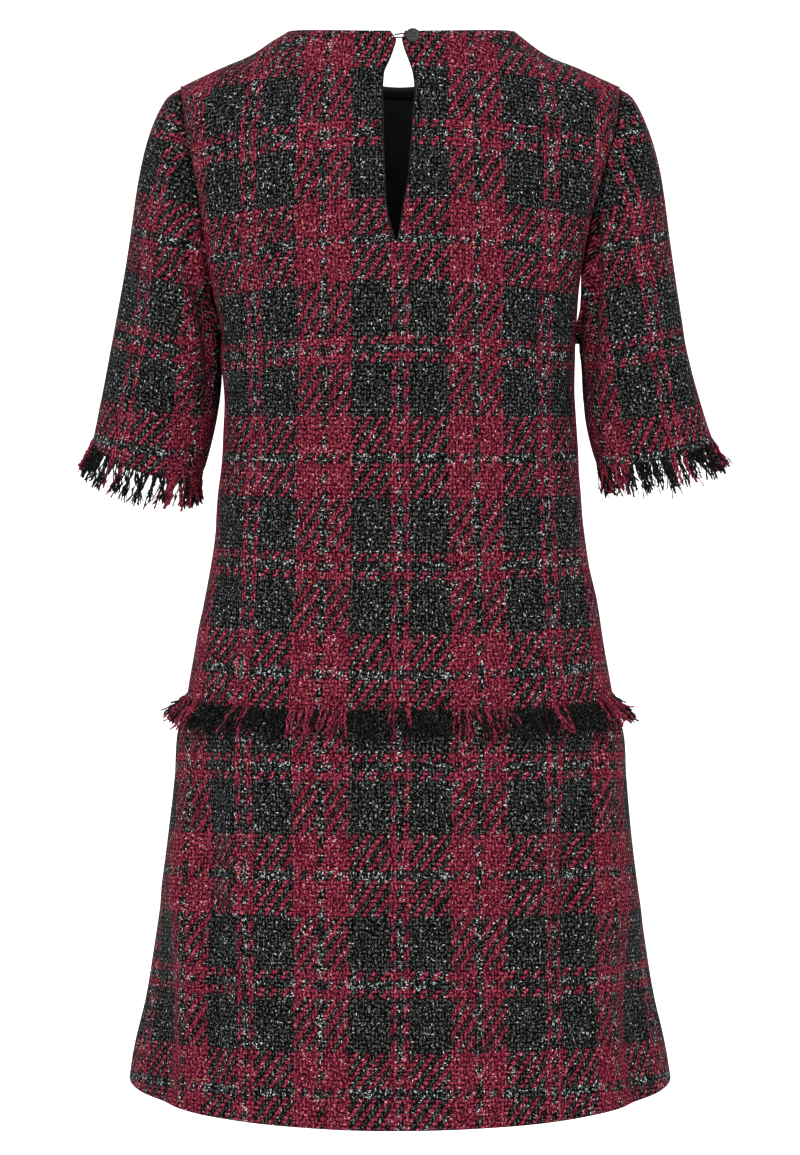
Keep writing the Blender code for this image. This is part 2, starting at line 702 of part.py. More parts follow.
def make_loop(foot, outward, parts):
    """The elastic loop, from the keyhole's left edge round the button's stem and back."""
    turn_radius = STEM_RADIUS + SEAM_GAP + LOOP_RADIUS
    rise = LOOP_ROOT_Z - foot[2]
    root_x = LOOP_ROOT_X + SEAM_GAP
    crest_rise = rise * (BUTTON_X - LOOP_CREST_X) / (BUTTON_X - root_x)
    points = [
        place(foot, outward, root_x, rise + LOOP_ROOT_SPREAD, -LOOP_ROOT_SINK),
        place(foot, outward, LOOP_CREST_X, crest_rise + LOOP_CREST_SPREAD, LOOP_REST),
    ]
    for step in range(LOOP_TURN_STEPS + 1):
        angle = math.radians(90) - math.pi * step / LOOP_TURN_STEPS
        x = BUTTON_X + turn_radius * math.cos(angle)
        points.append(place(foot, outward, x, turn_radius * math.sin(angle), LOOP_REST))
    points += [
        place(foot, outward, LOOP_CREST_X, crest_rise - LOOP_CREST_SPREAD, LOOP_REST),
        place(foot, outward, root_x, rise - LOOP_ROOT_SPREAD, -LOOP_ROOT_SINK),
    ]
    return make_tube("button_loop", points, LOOP_RADIUS, "elastic", parts)


def build():
    clear_scene()
    parts = make_collection("a_line_dress")
    cutters = make_collection("cutters")

    back = bodice_panel("back", -1)
    front = bodice_panel("front", 1)
    back_spread = bodice_spread(back)
    front_spread = bodice_spread(front)
    back_wall = wall_mesh("bodice_back", back, back - TWEED_WALL * back_spread)
    bodice_back = add_object("bodice_back", back_wall, parts, "tweed")
    cut(bodice_back, make_keyhole_cutter(cutters))
    front_wall = wall_mesh("bodice_front", front, front - TWEED_WALL * front_spread)
    add_object("bodice_front", front_wall, parts, "tweed")

    for name, facing, bodice, folds in (("back", -1, back, BACK_FOLDS), ("front", 1, front, FRONT_FOLDS)):
        skirt = with_folds(skirt_panel(name, facing, bodice), folds)
        spread = skirt_spread(skirt)
        wall = wall_mesh("skirt_" + name, skirt, skirt - TWEED_WALL * spread)
        add_object("skirt_" + name, wall, parts, "tweed")
        make_waist_fringe("waist_fringe_" + name, skirt, spread, parts)

    for name in SLEEVES:
        sleeve = sleeve_panel(back, front, name)
        spread = sleeve_spread(sleeve)
        wall = wall_mesh("sleeve_" + name, sleeve, sleeve - TWEED_WALL * spread, closed=True)
        add_object("sleeve_" + name, wall, parts, "tweed")
        make_cuff_fringe("cuff_fringe_" + name, sleeve, spread, parts)

    make_lining(front, front_spread, parts)
    make_neck_tape(front, front_spread, parts)
    foot, outward = closing_frame(back)
    make_button(foot, outward, parts, cutters)
    make_stem(foot, outward, parts)
    make_loop(foot, outward, parts)


build()
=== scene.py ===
import math

import bmesh
import bpy
import numpy as np
from mathutils import Matrix, Vector
from mathutils.bvhtree import BVHTree


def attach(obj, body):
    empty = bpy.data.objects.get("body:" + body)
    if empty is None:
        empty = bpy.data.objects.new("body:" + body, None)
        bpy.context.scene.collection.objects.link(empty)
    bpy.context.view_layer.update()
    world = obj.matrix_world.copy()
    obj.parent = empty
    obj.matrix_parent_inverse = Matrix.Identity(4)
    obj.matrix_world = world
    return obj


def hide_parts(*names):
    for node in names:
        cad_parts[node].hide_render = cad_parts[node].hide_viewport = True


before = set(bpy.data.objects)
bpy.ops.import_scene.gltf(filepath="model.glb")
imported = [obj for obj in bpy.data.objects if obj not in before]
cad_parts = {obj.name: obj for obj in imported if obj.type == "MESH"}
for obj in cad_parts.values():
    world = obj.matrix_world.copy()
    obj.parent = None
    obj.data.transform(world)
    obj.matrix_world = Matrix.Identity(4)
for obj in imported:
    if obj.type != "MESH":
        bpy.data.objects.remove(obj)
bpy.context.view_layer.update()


def inScene(name, data):
    item = bpy.data.objects.new(name, data)
    bpy.context.scene.collection.objects.link(item)
    return item


# Camera, level with the underarms and tilted a little down, as in the photograph

view = {"place": (0.0, -2.60, -0.225), "pitchDown": 4.6, "lens": 95.9, "sensor": 36.0}

lens = bpy.data.cameras.new("camera")
lens.lens = view["lens"]
lens.sensor_width = view["sensor"]
lens.clip_start = 0.05
lens.clip_end = 60
camera = inScene("camera", lens)
camera.location = view["place"]
camera.rotation_euler = (math.radians(90 - view["pitchDown"]), 0, 0)
bpy.context.scene.camera = camera
print("camera set")


# Materials

def linear(code):
    parts = [int(code[place:place + 2], 16) / 255 for place in (1, 3, 5)]
    return (*[part / 12.92 if part <= 0.04045 else ((part + 0.055) / 1.055) ** 2.4 for part in parts], 1.0)


def add(tree, kind, inputs=None, **settings):
    # one node, with its settings, and its inputs by name or number: a socket is linked
    made = tree.nodes.new(kind)
    for name, value in settings.items():
        setattr(made, name, value)
    for name, value in (inputs or {}).items():
        if isinstance(value, bpy.types.NodeSocket):
            tree.links.new(value, made.inputs[name])
        else:
            made.inputs[name].default_value = value
    return made


def newMaterial(name, **shaderValues):
    material = bpy.data.materials.new(name)
    material.use_nodes = True
    shader = material.node_tree.nodes["Principled BSDF"]
    for key, value in shaderValues.items():
        shader.inputs[key.replace("_", " ")].default_value = value
    return material, material.node_tree, shader


def setRamp(node, stops, interpolation="LINEAR"):
    ramp = node.color_ramp
    ramp.interpolation = interpolation
    while len(ramp.elements) < len(stops):
        ramp.elements.new(0.5)
    for element, (place, colour) in zip(ramp.elements, stops):
        element.position = place
        element.color = colour


# The check, charted as half of each repeat, in yarns: the stripes mirror at both
# ends. Each row is a stripe's yarns, whether they are burgundy, and their lurex.
check = {
    "warp": ((1, 0, 1.0), (2, 1, 0.3), (13, 0, 0.22), (8, 1, 0.3), (1, 0, 1.0)),
    "weft": ((1, 0, 1.0), (8, 1, 0.3), (12, 0, 0.22), (2, 1, 0.3), (1, 0, 1.0)),
    "pitch": {"warp": 2.60, "weft": 3.69},      # from yarn to yarn, mm
    "float": 2,             # yarns that each float passes over, so the twill repeats every four
}
tweed = {
    # each hue runs from painted shade between the yarns, through their own tones, to a painted highlight on the
    # loops
    "redDeep": "#160307", "redDark": "#48101c", "redMiddle": "#80283b", "redLight": "#bd606f",
    "blackDeep": "#020202", "blackDark": "#111111", "blackMiddle": "#333334", "blackLight": "#7c7d7e",
    # painted highlights: the colours of the lurex's glints
    "redGlint": "#f0bcc0", "goldGlint": "#cf9450", "blackGlint": "#dfe6e8",
    "wander": 0.0030,       # how far the yarns wander, in metres
    "grain": 2.0,           # size of the yarn's loops, mm
    "redReach": 1.27, "blackReach": 1.16,       # half width of the warp's slanting lines, in yarns
    "ragged": 1.3,          # unevenness of their edges, in yarns
    "streak": (2.6, 17.0),  # width and length of the yarn's uneven stretches, mm
    "glint": (1.2, 3.0),    # width and length of the lurex's glints, mm
    "rare": 0.12,           # share of places where a pure lurex stripe glints
    "relief": 1.6,          # height of the weave, mm
    "straight": 0.6,        # 0 for lines stepped from yarn to yarn, 1 for straight ones
    "firstLine": 0.7,       # where the first slanting line runs, in yarns
    "ofFloats": 0.34, "ofLoops": 0.42, "ofFibres": 1.5, "ofStreaks": 0.4,       # shares of the height
    "base": 0.84,           # taken off their sum, so that it starts near nought
    "golden": 0.8,          # above this share a glint on burgundy is golden
}


def halfRepeat(direction):
    return sum(row[0] for row in check[direction]) * check["pitch"][direction] / 1000


def isRed(u):
    yarns = sum(row[0] for row in check["warp"])
    place = 1000 * u / check["pitch"]["warp"]
    place = abs((place + yarns) % (2 * yarns) - yarns)
    for count, red, lurex in check["warp"]:
        if place < count:
            return float(red)
        place -= count
    return 0.0


def checkStops(direction):
    start = 0.0
    stops = []
    for count, red, lurex in check[direction]:
        stops.append((start / sum(row[0] for row in check[direction]), (red, lurex, 0, 1)))
        start += count
    return stops


# Boucle tweed: looped matt yarn in a 2 by 2 twill with thin metallic filaments. The warp's
# colour shows in slanting lines and the weft's between them. The colour also follows the weave's height: painted
# shade where it is low and a painted highlight on the loops, over the yarns' own uneven tone.
def boucleTweed():
    material, tree, shader = newMaterial("boucle tweed", Roughness=0.9, Specular_IOR_Level=0.02)
    math_ = "ShaderNodeMath"
    pitch = {direction: width / 1000 for direction, width in check["pitch"].items()}
    flat = add(tree, "ShaderNodeUVMap", uv_map="cloth").outputs["UV"]
    wander = add(tree, "ShaderNodeTexNoise", {"Vector": flat, "Scale": 240.0, "Detail": 3.0, "Roughness": 0.6},
                 noise_dimensions="2D").outputs["Color"]
    offset = add(tree, "ShaderNodeVectorMath", {0: wander, 1: (0.5, 0.5, 0.5)}, operation="SUBTRACT").outputs[0]
    moved = add(tree, "ShaderNodeVectorMath", {0: offset, 1: (tweed["wander"],) * 3, 2: flat},
                operation="MULTIPLY_ADD").outputs[0]
    parts = add(tree, "ShaderNodeSeparateXYZ", {0: moved})
    across = add(tree, math_, {0: parts.outputs["X"], 1: pitch["warp"]}, operation="DIVIDE").outputs[0]
    along = add(tree, math_, {0: parts.outputs["Y"], 1: pitch["weft"]}, operation="DIVIDE").outputs[0]
    warpYarn = add(tree, math_, {0: across}, operation="FLOOR").outputs[0]
    weftYarn = add(tree, math_, {0: along}, operation="FLOOR").outputs[0]
    apart = add(tree, math_, {0: weftYarn, 1: warpYarn}, operation="SUBTRACT").outputs[0]
    step = add(tree, math_, {0: apart, 1: 2.0 * check["float"]}, operation="FLOORED_MODULO").outputs[0]
    warpFaced = add(tree, math_, {0: step, 1: check["float"] - 0.5}, operation="LESS_THAN").outputs[0]

    shown = []
    for direction, number in (("warp", warpYarn), ("weft", weftYarn)):
        half = halfRepeat(direction)
        middle = add(tree, math_, {0: number, 1: pitch[direction], 2: pitch[direction] / 2},
                     operation="MULTIPLY_ADD").outputs[0]
        folded = add(tree, math_, {0: middle, 1: half}, operation="PINGPONG").outputs[0]
        share = add(tree, math_, {0: folded, 1: half}, operation="DIVIDE").outputs[0]
        stripes = add(tree, "ShaderNodeValToRGB", {"Fac": share})
        setRamp(stripes, checkStops(direction), "CONSTANT")
        shown.append(add(tree, "ShaderNodeSeparateColor", {0: stripes.outputs["Color"]}))
    lurex = add(tree, math_, {0: shown[0].outputs[1], 1: shown[1].outputs[1]}, operation="MAXIMUM").outputs[0]

    # each float is high in the middle, and dives at its ends and between two yarns
    length = check["float"]
    rounds = []
    for first, second, centre, over in ((along, warpYarn, length / 2, across),
                                        (weftYarn, across, 1.5 * length - 1, along)):
        run = add(tree, math_, {0: first, 1: second}, operation="SUBTRACT").outputs[0]
        run = add(tree, math_, {0: run, 1: 2.0 * length}, operation="FLOORED_MODULO").outputs[0]
        run = add(tree, math_, {0: run, 1: centre}, operation="SUBTRACT").outputs[0]
        run = add(tree, math_, {0: run}, operation="ABSOLUTE").outputs[0]
        end = add(tree, "ShaderNodeMapRange", {"Value": run, "From Min": 0.62 * length,
                                               "From Max": 0.20 * length}).outputs[0]
        flank = add(tree, math_, {0: over, 1: 0.5}, operation="PINGPONG").outputs[0]
        flank = add(tree, "ShaderNodeMapRange", {"Value": flank, "From Min": 0.0, "From Max": 0.38}).outputs[0]
        rounds.append(add(tree, math_, {0: end, 1: flank}, operation="MULTIPLY").outputs[0])
    ofYarn = add(tree, "ShaderNodeMix", {0: warpFaced, 2: rounds[1], 3: rounds[0]},
                 data_type="FLOAT").outputs[0]
    loops = add(tree, "ShaderNodeTexVoronoi", {"Vector": flat, "Scale": 1000 / tweed["grain"]},
                voronoi_dimensions="2D")
    ofLoop = add(tree, "ShaderNodeMapRange", {"Value": loops.outputs["Distance"], "From Min": 0.62,
                                              "From Max": 0.08}).outputs[0]
    fibre = add(tree, "ShaderNodeTexNoise", {"Vector": flat, "Scale": 1100.0, "Detail": 3.0, "Roughness": 0.7},
                noise_dimensions="2D").outputs["Fac"]
    drawnOut = add(tree, "ShaderNodeMapping", {"Vector": flat, "Scale": (1000 / tweed["streak"][0],
                                                                         1000 / tweed["streak"][1], 1)})
    streak = add(tree, "ShaderNodeTexNoise", {"Vector": drawnOut.outputs[0], "Scale": 1.0, "Detail": 1.0},
                 noise_dimensions="2D").outputs["Fac"]
    height = add(tree, math_, {0: ofYarn, 1: tweed["ofFloats"]}, operation="MULTIPLY").outputs[0]
    for source, share in ((ofLoop, "ofLoops"), (fibre, "ofFibres"), (streak, "ofStreaks")):
        height = add(tree, math_, {0: source, 1: tweed[share], 2: height}, operation="MULTIPLY_ADD").outputs[0]
    height = add(tree, math_, {0: height, 1: tweed["base"]}, operation="SUBTRACT").outputs[0]

    # the floats of neighbouring yarns run together into slanting lines with uneven edges, and
    # the burgundy yarn is the thicker one, so its lines spread over the black ones
    slant = add(tree, "ShaderNodeMix", {0: tweed["straight"], 2: warpYarn, 3: across},
                data_type="FLOAT").outputs[0]
    slant = add(tree, math_, {0: along, 1: slant}, operation="SUBTRACT").outputs[0]
    slant = add(tree, math_, {0: slant, 1: tweed["firstLine"]}, operation="SUBTRACT").outputs[0]
    fromLine = add(tree, math_, {0: slant, 1: float(length)}, operation="PINGPONG").outputs[0]
    fromLine = add(tree, math_, {0: fibre, 1: tweed["ragged"], 2: fromLine},
                   operation="MULTIPLY_ADD").outputs[0]
    fromLine = add(tree, math_, {0: fromLine, 1: tweed["ragged"] / 2}, operation="SUBTRACT").outputs[0]
    crossing = [stripes.outputs[0] for stripes in shown]
    reach = add(tree, "ShaderNodeMix", {0: crossing[0], 2: tweed["blackReach"], 3: tweed["redReach"]},
                data_type="FLOAT").outputs[0]
    onTop = add(tree, math_, {0: fromLine, 1: reach}, operation="LESS_THAN").outputs[0]
    red = add(tree, "ShaderNodeMix", {0: onTop, 2: crossing[1], 3: crossing[0]}, data_type="FLOAT").outputs[0]

    # the ramps paint shade where the weave is low and a highlight where it is high, over the yarns' own uneven
    # tone
    redYarnAndPaintedShade = add(tree, "ShaderNodeValToRGB", {"Fac": height})
    setRamp(redYarnAndPaintedShade, [(0.18, linear(tweed["redDeep"])), (0.40, linear(tweed["redDark"])),
                      (0.65, linear(tweed["redMiddle"])), (0.97, linear(tweed["redLight"]))])
    blackYarnAndPaintedShade = add(tree, "ShaderNodeValToRGB", {"Fac": height})
    setRamp(blackYarnAndPaintedShade, [(0.33, linear(tweed["blackDeep"])), (0.46, linear(tweed["blackDark"])),
                        (0.68, linear(tweed["blackMiddle"])), (0.96, linear(tweed["blackLight"]))])
    yarnAndPaintedShade = add(tree, "ShaderNodeMix", {0: red, 6: blackYarnAndPaintedShade.outputs["Color"], 7: redYarnAndPaintedShade.outputs["Color"]},
                     data_type="RGBA").outputs[2]

    # lurex: its glints are painted highlights of the metallic filaments, short bright strokes in loose clusters,
    # some along the warp and some along the weft
    cluster = add(tree, "ShaderNodeTexNoise", {"Vector": flat, "Scale": 95.0, "Detail": 1.0},
                  noise_dimensions="2D").outputs["Fac"]
    cluster = add(tree, "ShaderNodeMapRange", {"Value": cluster, "From Min": 0.42, "From Max": 0.66,
                                               "To Min": 0.25, "To Max": 1.9}).outputs[0]
    cluster = add(tree, math_, {0: cluster, 1: tweed["rare"]}, operation="MULTIPLY").outputs[0]
    limit = add(tree, math_, {0: lurex, 1: cluster}, operation="MULTIPLY").outputs[0]
    strokes = []
    for turn in (False, True):
        size = tweed["glint"][::-1] if turn else tweed["glint"]
        stretched = add(tree, "ShaderNodeMapping", {"Vector": flat, "Scale": (1000 / size[0], 1000 / size[1], 1),
                                                    "Rotation": (0, 0, 0.25 if turn else 0.35)})
        cells = add(tree, "ShaderNodeTexVoronoi", {"Vector": stretched.outputs[0], "Scale": 1.0},
                    voronoi_dimensions="2D")
        near = add(tree, math_, {0: cells.outputs["Distance"], 1: 0.33}, operation="LESS_THAN").outputs[0]
        drawn = add(tree, "ShaderNodeSeparateColor", {0: cells.outputs["Color"]})
        rare = add(tree, math_, {0: drawn.outputs[0], 1: limit}, operation="LESS_THAN").outputs[0]
        bright = add(tree, math_, {0: drawn.outputs[2], 1: 0.75, 2: 0.1}, operation="MULTIPLY_ADD").outputs[0]
        here = add(tree, math_, {0: near, 1: rare}, operation="MULTIPLY").outputs[0]
        strokes.append(add(tree, math_, {0: here, 1: bright}, operation="MULTIPLY").outputs[0])
    glint = add(tree, math_, {0: strokes[0], 1: strokes[1]}, operation="MAXIMUM").outputs[0]
    tint = add(tree, "ShaderNodeSeparateColor", {0: loops.outputs["Color"]}).outputs[1]
    golden = add(tree, math_, {0: tint, 1: tweed["golden"]}, operation="GREATER_THAN").outputs[0]
    redGlint = add(tree, "ShaderNodeMix", {0: golden, 6: linear(tweed["redGlint"]), 7: linear(tweed["goldGlint"])},
                   data_type="RGBA").outputs[2]
    glintColour = add(tree, "ShaderNodeMix", {0: red, 6: linear(tweed["blackGlint"]), 7: redGlint},
                      data_type="RGBA").outputs[2]
    colour = add(tree, "ShaderNodeMix", {0: glint, 6: yarnAndPaintedShade, 7: glintColour}, data_type="RGBA").outputs[2]
    tree.links.new(colour, shader.inputs["Base Color"])
    bump = add(tree, "ShaderNodeBump", {"Height": height, "Distance": tweed["relief"] / 1000, "Strength": 0.8})
    tree.links.new(bump.outputs[0], shader.inputs["Normal"])
    return material


# Frayed boucle yarn: loose warp ends of the same cloth, matt and a little fluffy, with painted shade
# that makes them darkest in between and a painted highlight that makes them light where a loop stands up.
def frayedYarn():
    material, tree, shader = newMaterial("frayed boucle yarn", Roughness=0.9, Specular_IOR_Level=0.03)
    place = add(tree, "ShaderNodeTexCoord").outputs["Object"]
    red = add(tree, "ShaderNodeAttribute", attribute_name="red").outputs["Fac"]
    loops = add(tree, "ShaderNodeTexNoise", {"Vector": place, "Scale": 700.0, "Detail": 3.0,
                                             "Roughness": 0.7}).outputs["Fac"]
    # painted shade in between the loops and a painted highlight where a loop stands up
    redYarnAndPaintedShade = add(tree, "ShaderNodeValToRGB", {"Fac": loops})
    setRamp(redYarnAndPaintedShade, [(0.34, linear(tweed["redDeep"])), (0.45, linear(tweed["redDark"])),
                      (0.56, linear(tweed["redMiddle"])), (0.74, linear(tweed["redLight"]))])
    blackYarnAndPaintedShade = add(tree, "ShaderNodeValToRGB", {"Fac": loops})
    setRamp(blackYarnAndPaintedShade, [(0.35, linear(tweed["blackDeep"])), (0.58, linear(tweed["blackDark"])),
                        (0.78, linear(tweed["blackLight"]))])
    colour = add(tree, "ShaderNodeMix", {0: red, 6: blackYarnAndPaintedShade.outputs["Color"], 7: redYarnAndPaintedShade.outputs["Color"]},
                 data_type="RGBA").outputs[2]
    tree.links.new(colour, shader.inputs["Base Color"])
    bump = add(tree, "ShaderNodeBump", {"Height": loops, "Distance": 0.0008, "Strength": 0.8})
    tree.links.new(bump.outputs[0], shader.inputs["Normal"])
    return material


# Plain fine goods in one hue: a smooth or dull thread, with a weave too fine to see, so it
# is drawn a few times coarser than it is.
def fineGoods(name, dark, light, pitch, **shaderValues):
    material, tree, shader = newMaterial(name, **shaderValues)
    place = add(tree, "ShaderNodeTexCoord").outputs["Object"]
    weave = add(tree, "ShaderNodeTexNoise", {"Vector": place, "Scale": 1000 / pitch,
                                             "Detail": 2.0}).outputs["Fac"]
    colour = add(tree, "ShaderNodeMix", {0: weave, 6: linear(dark), 7: linear(light)},
                 data_type="RGBA").outputs[2]
    tree.links.new(colour, shader.inputs["Base Color"])
    bump = add(tree, "ShaderNodeBump", {"Height": weave, "Distance": 0.0002, "Strength": 0.5})
    tree.links.new(bump.outputs[0], shader.inputs["Normal"])
    return material


tweedCloth = boucleTweed()
looseYarn = frayedYarn()
# Polyester lining: filament yarn, so it is smooth and catches a soft light on its folds.
liningCloth = fineGoods("polyester lining", "#0f0e0f", "#191718", 0.5, Roughness=0.55, Specular_IOR_Level=0.15)
# Cotton tape: dull, dense and darker than the lining.
cottonTape = fineGoods("cotton tape", "#060607", "#101011", 0.7, Roughness=0.8, Specular_IOR_Level=0.1)
# Moulded polyester: near black, its skin satin from the mould.
mouldedPolyester = fineGoods("moulded polyester", "#1a191a", "#292829", 0.6, Roughness=0.5,
                             Specular_IOR_Level=0.2)
# Polyester sewing thread: thin, twisted and slightly bright.
sewingThread = fineGoods("polyester sewing thread", "#060606", "#151415", 0.3, Roughness=0.7,
                         Specular_IOR_Level=0.1)
# Covered elastic: rubber wrapped round and round with fine dull thread.
coveredElastic = fineGoods("covered elastic", "#040404", "#121112", 0.4, Roughness=0.8, Specular_IOR_Level=0.05)
print("materials made")


# Form of the cloth: the same named sections as the CAD solids, read on a finer grid

cloth = {"tweed": 0.0020, "lining": 0.0010, "tape": 0.0010, "gap": 0.0003, "samples": 160}
levels = {"waistSeam": -0.5350, "waistLap": 0.008, "fringeFoot": -0.5560, "hem": -0.8720}
bodice = {
    "edgeNames": ("z", "backLeftX", "backRightX", "backY", "frontX", "frontY"),
    "edges": (
        (0.0228, 0.0945, 0.0970, 0.000, 0.0957, 0.000),     # neck end of the shoulder seam
        (0.0040, 0.1234, 0.1234, 0.000, 0.1234, 0.000),
        (-0.0066, 0.1493, 0.1493, 0.000, 0.1493, 0.000),
        (-0.0226, 0.1845, 0.1845, 0.000, 0.1845, 0.000),    # shoulder tip
        (-0.0320, 0.1830, 0.1835, 0.020, 0.1820, 0.020),
        (-0.0600, 0.1785, 0.1790, 0.037, 0.1750, 0.038),
        (-0.0980, 0.1702, 0.1680, 0.050, 0.1650, 0.052),
        (-0.1380, 0.1640, 0.1575, 0.053, 0.1560, 0.057),
        (-0.1860, 0.1580, 0.1500, 0.043, 0.1515, 0.048),
        (-0.2200, 0.1515, 0.1485, 0.026, 0.1500, 0.030),
        (-0.2400, 0.1490, 0.1490, 0.000, 0.1490, 0.000),    # underarm point
        (-0.2860, 0.1487, 0.1487, 0.000, 0.1487, 0.000),
        (-0.3570, 0.1530, 0.1530, 0.000, 0.1530, 0.000),
        (-0.4130, 0.1597, 0.1597, 0.000, 0.1597, 0.000),
        (-0.4700, 0.1703, 0.1703, 0.000, 0.1703, 0.000),
        (levels["waistSeam"], 0.1815, 0.1815, 0.000, 0.1815, 0.000),
    ),
    "centreNames": ("backY", "backZ", "backPower", "frontY", "frontZ", "frontPower"),
    "centres": (
        (-0.0700, 0.0178, 2.0, 0.0550, -0.0200, 2.0),
        (-0.0800, -0.0180, 2.1, 0.0720, -0.0480, 2.1),
        (-0.0880, -0.0480, 2.2, 0.0880, -0.0720, 2.2),
        (-0.0940, -0.0760, 2.3, 0.1010, -0.0960, 2.3),
        (-0.0965, -0.0900, 2.4, 0.1070, -0.1080, 2.4),
        (-0.0985, -0.1050, 2.4, 0.1130, -0.1220, 2.4),
        (-0.1010, -0.1350, 2.5, 0.1230, -0.1500, 2.5),
        (-0.1020, -0.1650, 2.5, 0.1300, -0.1780, 2.6),
        (-0.1010, -0.2030, 2.5, 0.1340, -0.2100, 2.6),
        (-0.0990, -0.2320, 2.5, 0.1345, -0.2360, 2.6),
        (-0.0975, -0.2520, 2.5, 0.1340, -0.2540, 2.6),
        (-0.0940, -0.2950, 2.5, 0.1290, -0.2980, 2.6),
        (-0.0915, -0.3590, 2.5, 0.1220, -0.3610, 2.5),
        (-0.0930, -0.4130, 2.5, 0.1185, -0.4140, 2.5),
        (-0.0985, -0.4700, 2.5, 0.1190, -0.4700, 2.5),
        (-0.1060, levels["waistSeam"], 2.5, 0.1210, levels["waistSeam"], 2.5),
    ),
    "shoulderTip": 3, "underarm": 10,
    "rowSteps": 9,          # grid rows between two rows of the tables
    "halfColumns": 50,      # grid strips from the centre line to the edge
}


def named(table, names):
    values = np.array(table, dtype=float)
    return {name: values[:, index] for index, name in enumerate(names)}


def through(knots, values, at):
    slopes = np.gradient(values, knots, axis=0)
    index = np.clip(np.searchsorted(knots, at, side="right") - 1, 0, len(knots) - 2)
    width = knots[index + 1] - knots[index]
    part = (at - knots[index]) / width
    shape = (-1,) + (1,) * (values.ndim - 1)
    part = part.reshape(shape)
    width = width.reshape(shape)
    rise = part * part * (3 - 2 * part)
    return (values[index] * (1 - rise) + values[index + 1] * rise
            + slopes[index] * width * part * (1 - part) ** 2
            - slopes[index + 1] * width * part ** 2 * (1 - part))


def unit(vectors):
    return vectors / np.linalg.norm(vectors, axis=-1, keepdims=True)


def lengthAlong(points):
    return np.concatenate(([0.0], np.cumsum(np.linalg.norm(np.diff(points, axis=0), axis=1))))


def readAlong(points, at):
    along = lengthAlong(points)
    return np.stack([np.interp(at * along[-1], along, values) for values in points.T], axis=1)


def section(edge, centre, power, sideY=0.0):
    depth = abs((edge[1] - sideY) / (centre[0] - sideY))
    angle = np.linspace(0, math.acos(depth ** (power / 2)), cloth["samples"])
    across = np.sin(angle) ** (2 / power)
    back = 1 - np.maximum(np.cos(angle), 0) ** (2 / power)
    climb = np.sin(angle) ** 2
    share = np.stack((across / across[-1], back / back[-1], climb / climb[-1]), axis=1)
    start = np.array((0, centre[0], centre[1]))
    return readAlong(start + share * (np.array(edge) - start), np.linspace(0, 1, bodice["halfColumns"] + 1))


def fullRow(left, right, facing):
    row = np.concatenate((left[:0:-1] * np.array((-1, 1, 1)), right))
    return row if facing < 0 else row[::-1]


def normalsOf(points, closed=False):
    down = np.gradient(points, axis=0)
    if closed:
        along = (np.roll(points, -1, axis=1) - np.roll(points, 1, axis=1)) / 2
    else:
        along = np.gradient(points, axis=1)
    return unit(np.cross(down, along))


def bodiceGrid(name, facing):
    last = len(bodice["edges"]) - 1
    places = np.linspace(0, last, last * bodice["rowSteps"] + 1)
    table = np.array(bodice["edges"])
    read = np.empty((len(places), table.shape[1]))
    for start, end in ((0, bodice["shoulderTip"]), (bodice["shoulderTip"], bodice["underarm"]),
                       (bodice["underarm"], last)):
        inside = (places >= start) & (places <= end)
        read[inside] = through(np.arange(start, end + 1, dtype=float), table[start:end + 1], places[inside])
    edges = named(read, bodice["edgeNames"])
    centres = named(through(np.arange(last + 1, dtype=float), np.array(bodice["centres"]), places),
                    bodice["centreNames"])
    widths = {"back": ("backLeftX", "backRightX"), "front": ("frontX", "frontX")}[name]
    rows = []
    for index in range(len(places)):
        depth = facing * max(edges[name + "Y"][index], cloth["gap"] / 2)
        centre = (centres[name + "Y"][index], centres[name + "Z"][index])
        halves = [section((edges[width][index], depth, edges["z"][index]), centre,
                          centres[name + "Power"][index]) for width in widths]
        rows.append(fullRow(*halves, facing))
    return np.array(rows)


skirt = {
    "names": ("z", "sideZ", "sideX", "sideY", "backY", "frontY", "power"),
    "sections": (
        (levels["fringeFoot"], levels["fringeFoot"], 0.1870, 0.001, -0.1100, 0.1240, 2.5),
        (-0.6040, -0.6030, 0.1920, 0.004, -0.1150, 0.1275, 2.5),
        (-0.6500, -0.6490, 0.1973, 0.007, -0.1200, 0.1310, 2.4),
        (-0.7000, -0.6980, 0.2042, 0.010, -0.1255, 0.1350, 2.4),
        (-0.7500, -0.7470, 0.2118, 0.013, -0.1310, 0.1390, 2.4),
        (-0.8000, -0.7960, 0.2200, 0.016, -0.1370, 0.1440, 2.3),
        (-0.8400, -0.8340, 0.2285, 0.019, -0.1420, 0.1480, 2.2),
        (levels["hem"], -0.8640, 0.2340, 0.020, -0.1450, 0.1500, 2.2),
    ),
    "rows": 84,
    "hemTurn": 0.00215,     # half the distance between the cloth and its turned-up hem
    "hemDepth": 0.030,
    "hemRows": 7,
}


def skirtGrid(name, facing, above):
    drop = above[-1] - above[-4]
    lapped = above[-1] - drop * (levels["waistLap"] / np.linalg.norm(drop, axis=1, keepdims=True))
    away = normalsOf(above)[-1] * np.array((1, 1, 0))
    tucked = np.stack((lapped, above[-1])) - (cloth["tweed"] + cloth["gap"]) * unit(away)
    tucked[:, (0, -1), 1] = facing * cloth["gap"] / 2
    table = named(skirt["sections"], skirt["names"])
    lower = []
    for index in range(len(skirt["sections"])):
        edge = (table["sideX"][index], table["sideY"][index] + facing * cloth["gap"] / 2, table["sideZ"][index])
        half = section(edge, (table[name + "Y"][index], table["z"][index]), table["power"][index],
                       table["sideY"][index])
        lower.append(fullRow(half, half, facing))
    rows = np.concatenate((tucked, np.array(lower)))
    knots = -np.concatenate(([levels["waistSeam"] + levels["waistLap"], levels["waistSeam"]], table["z"]))
    seam = 2
    at = np.concatenate((np.linspace(knots[0], knots[1], seam + 1),
                         np.linspace(knots[1], knots[-1], skirt["rows"] - seam + 1)[1:]))
    return through(knots, rows, at), seam


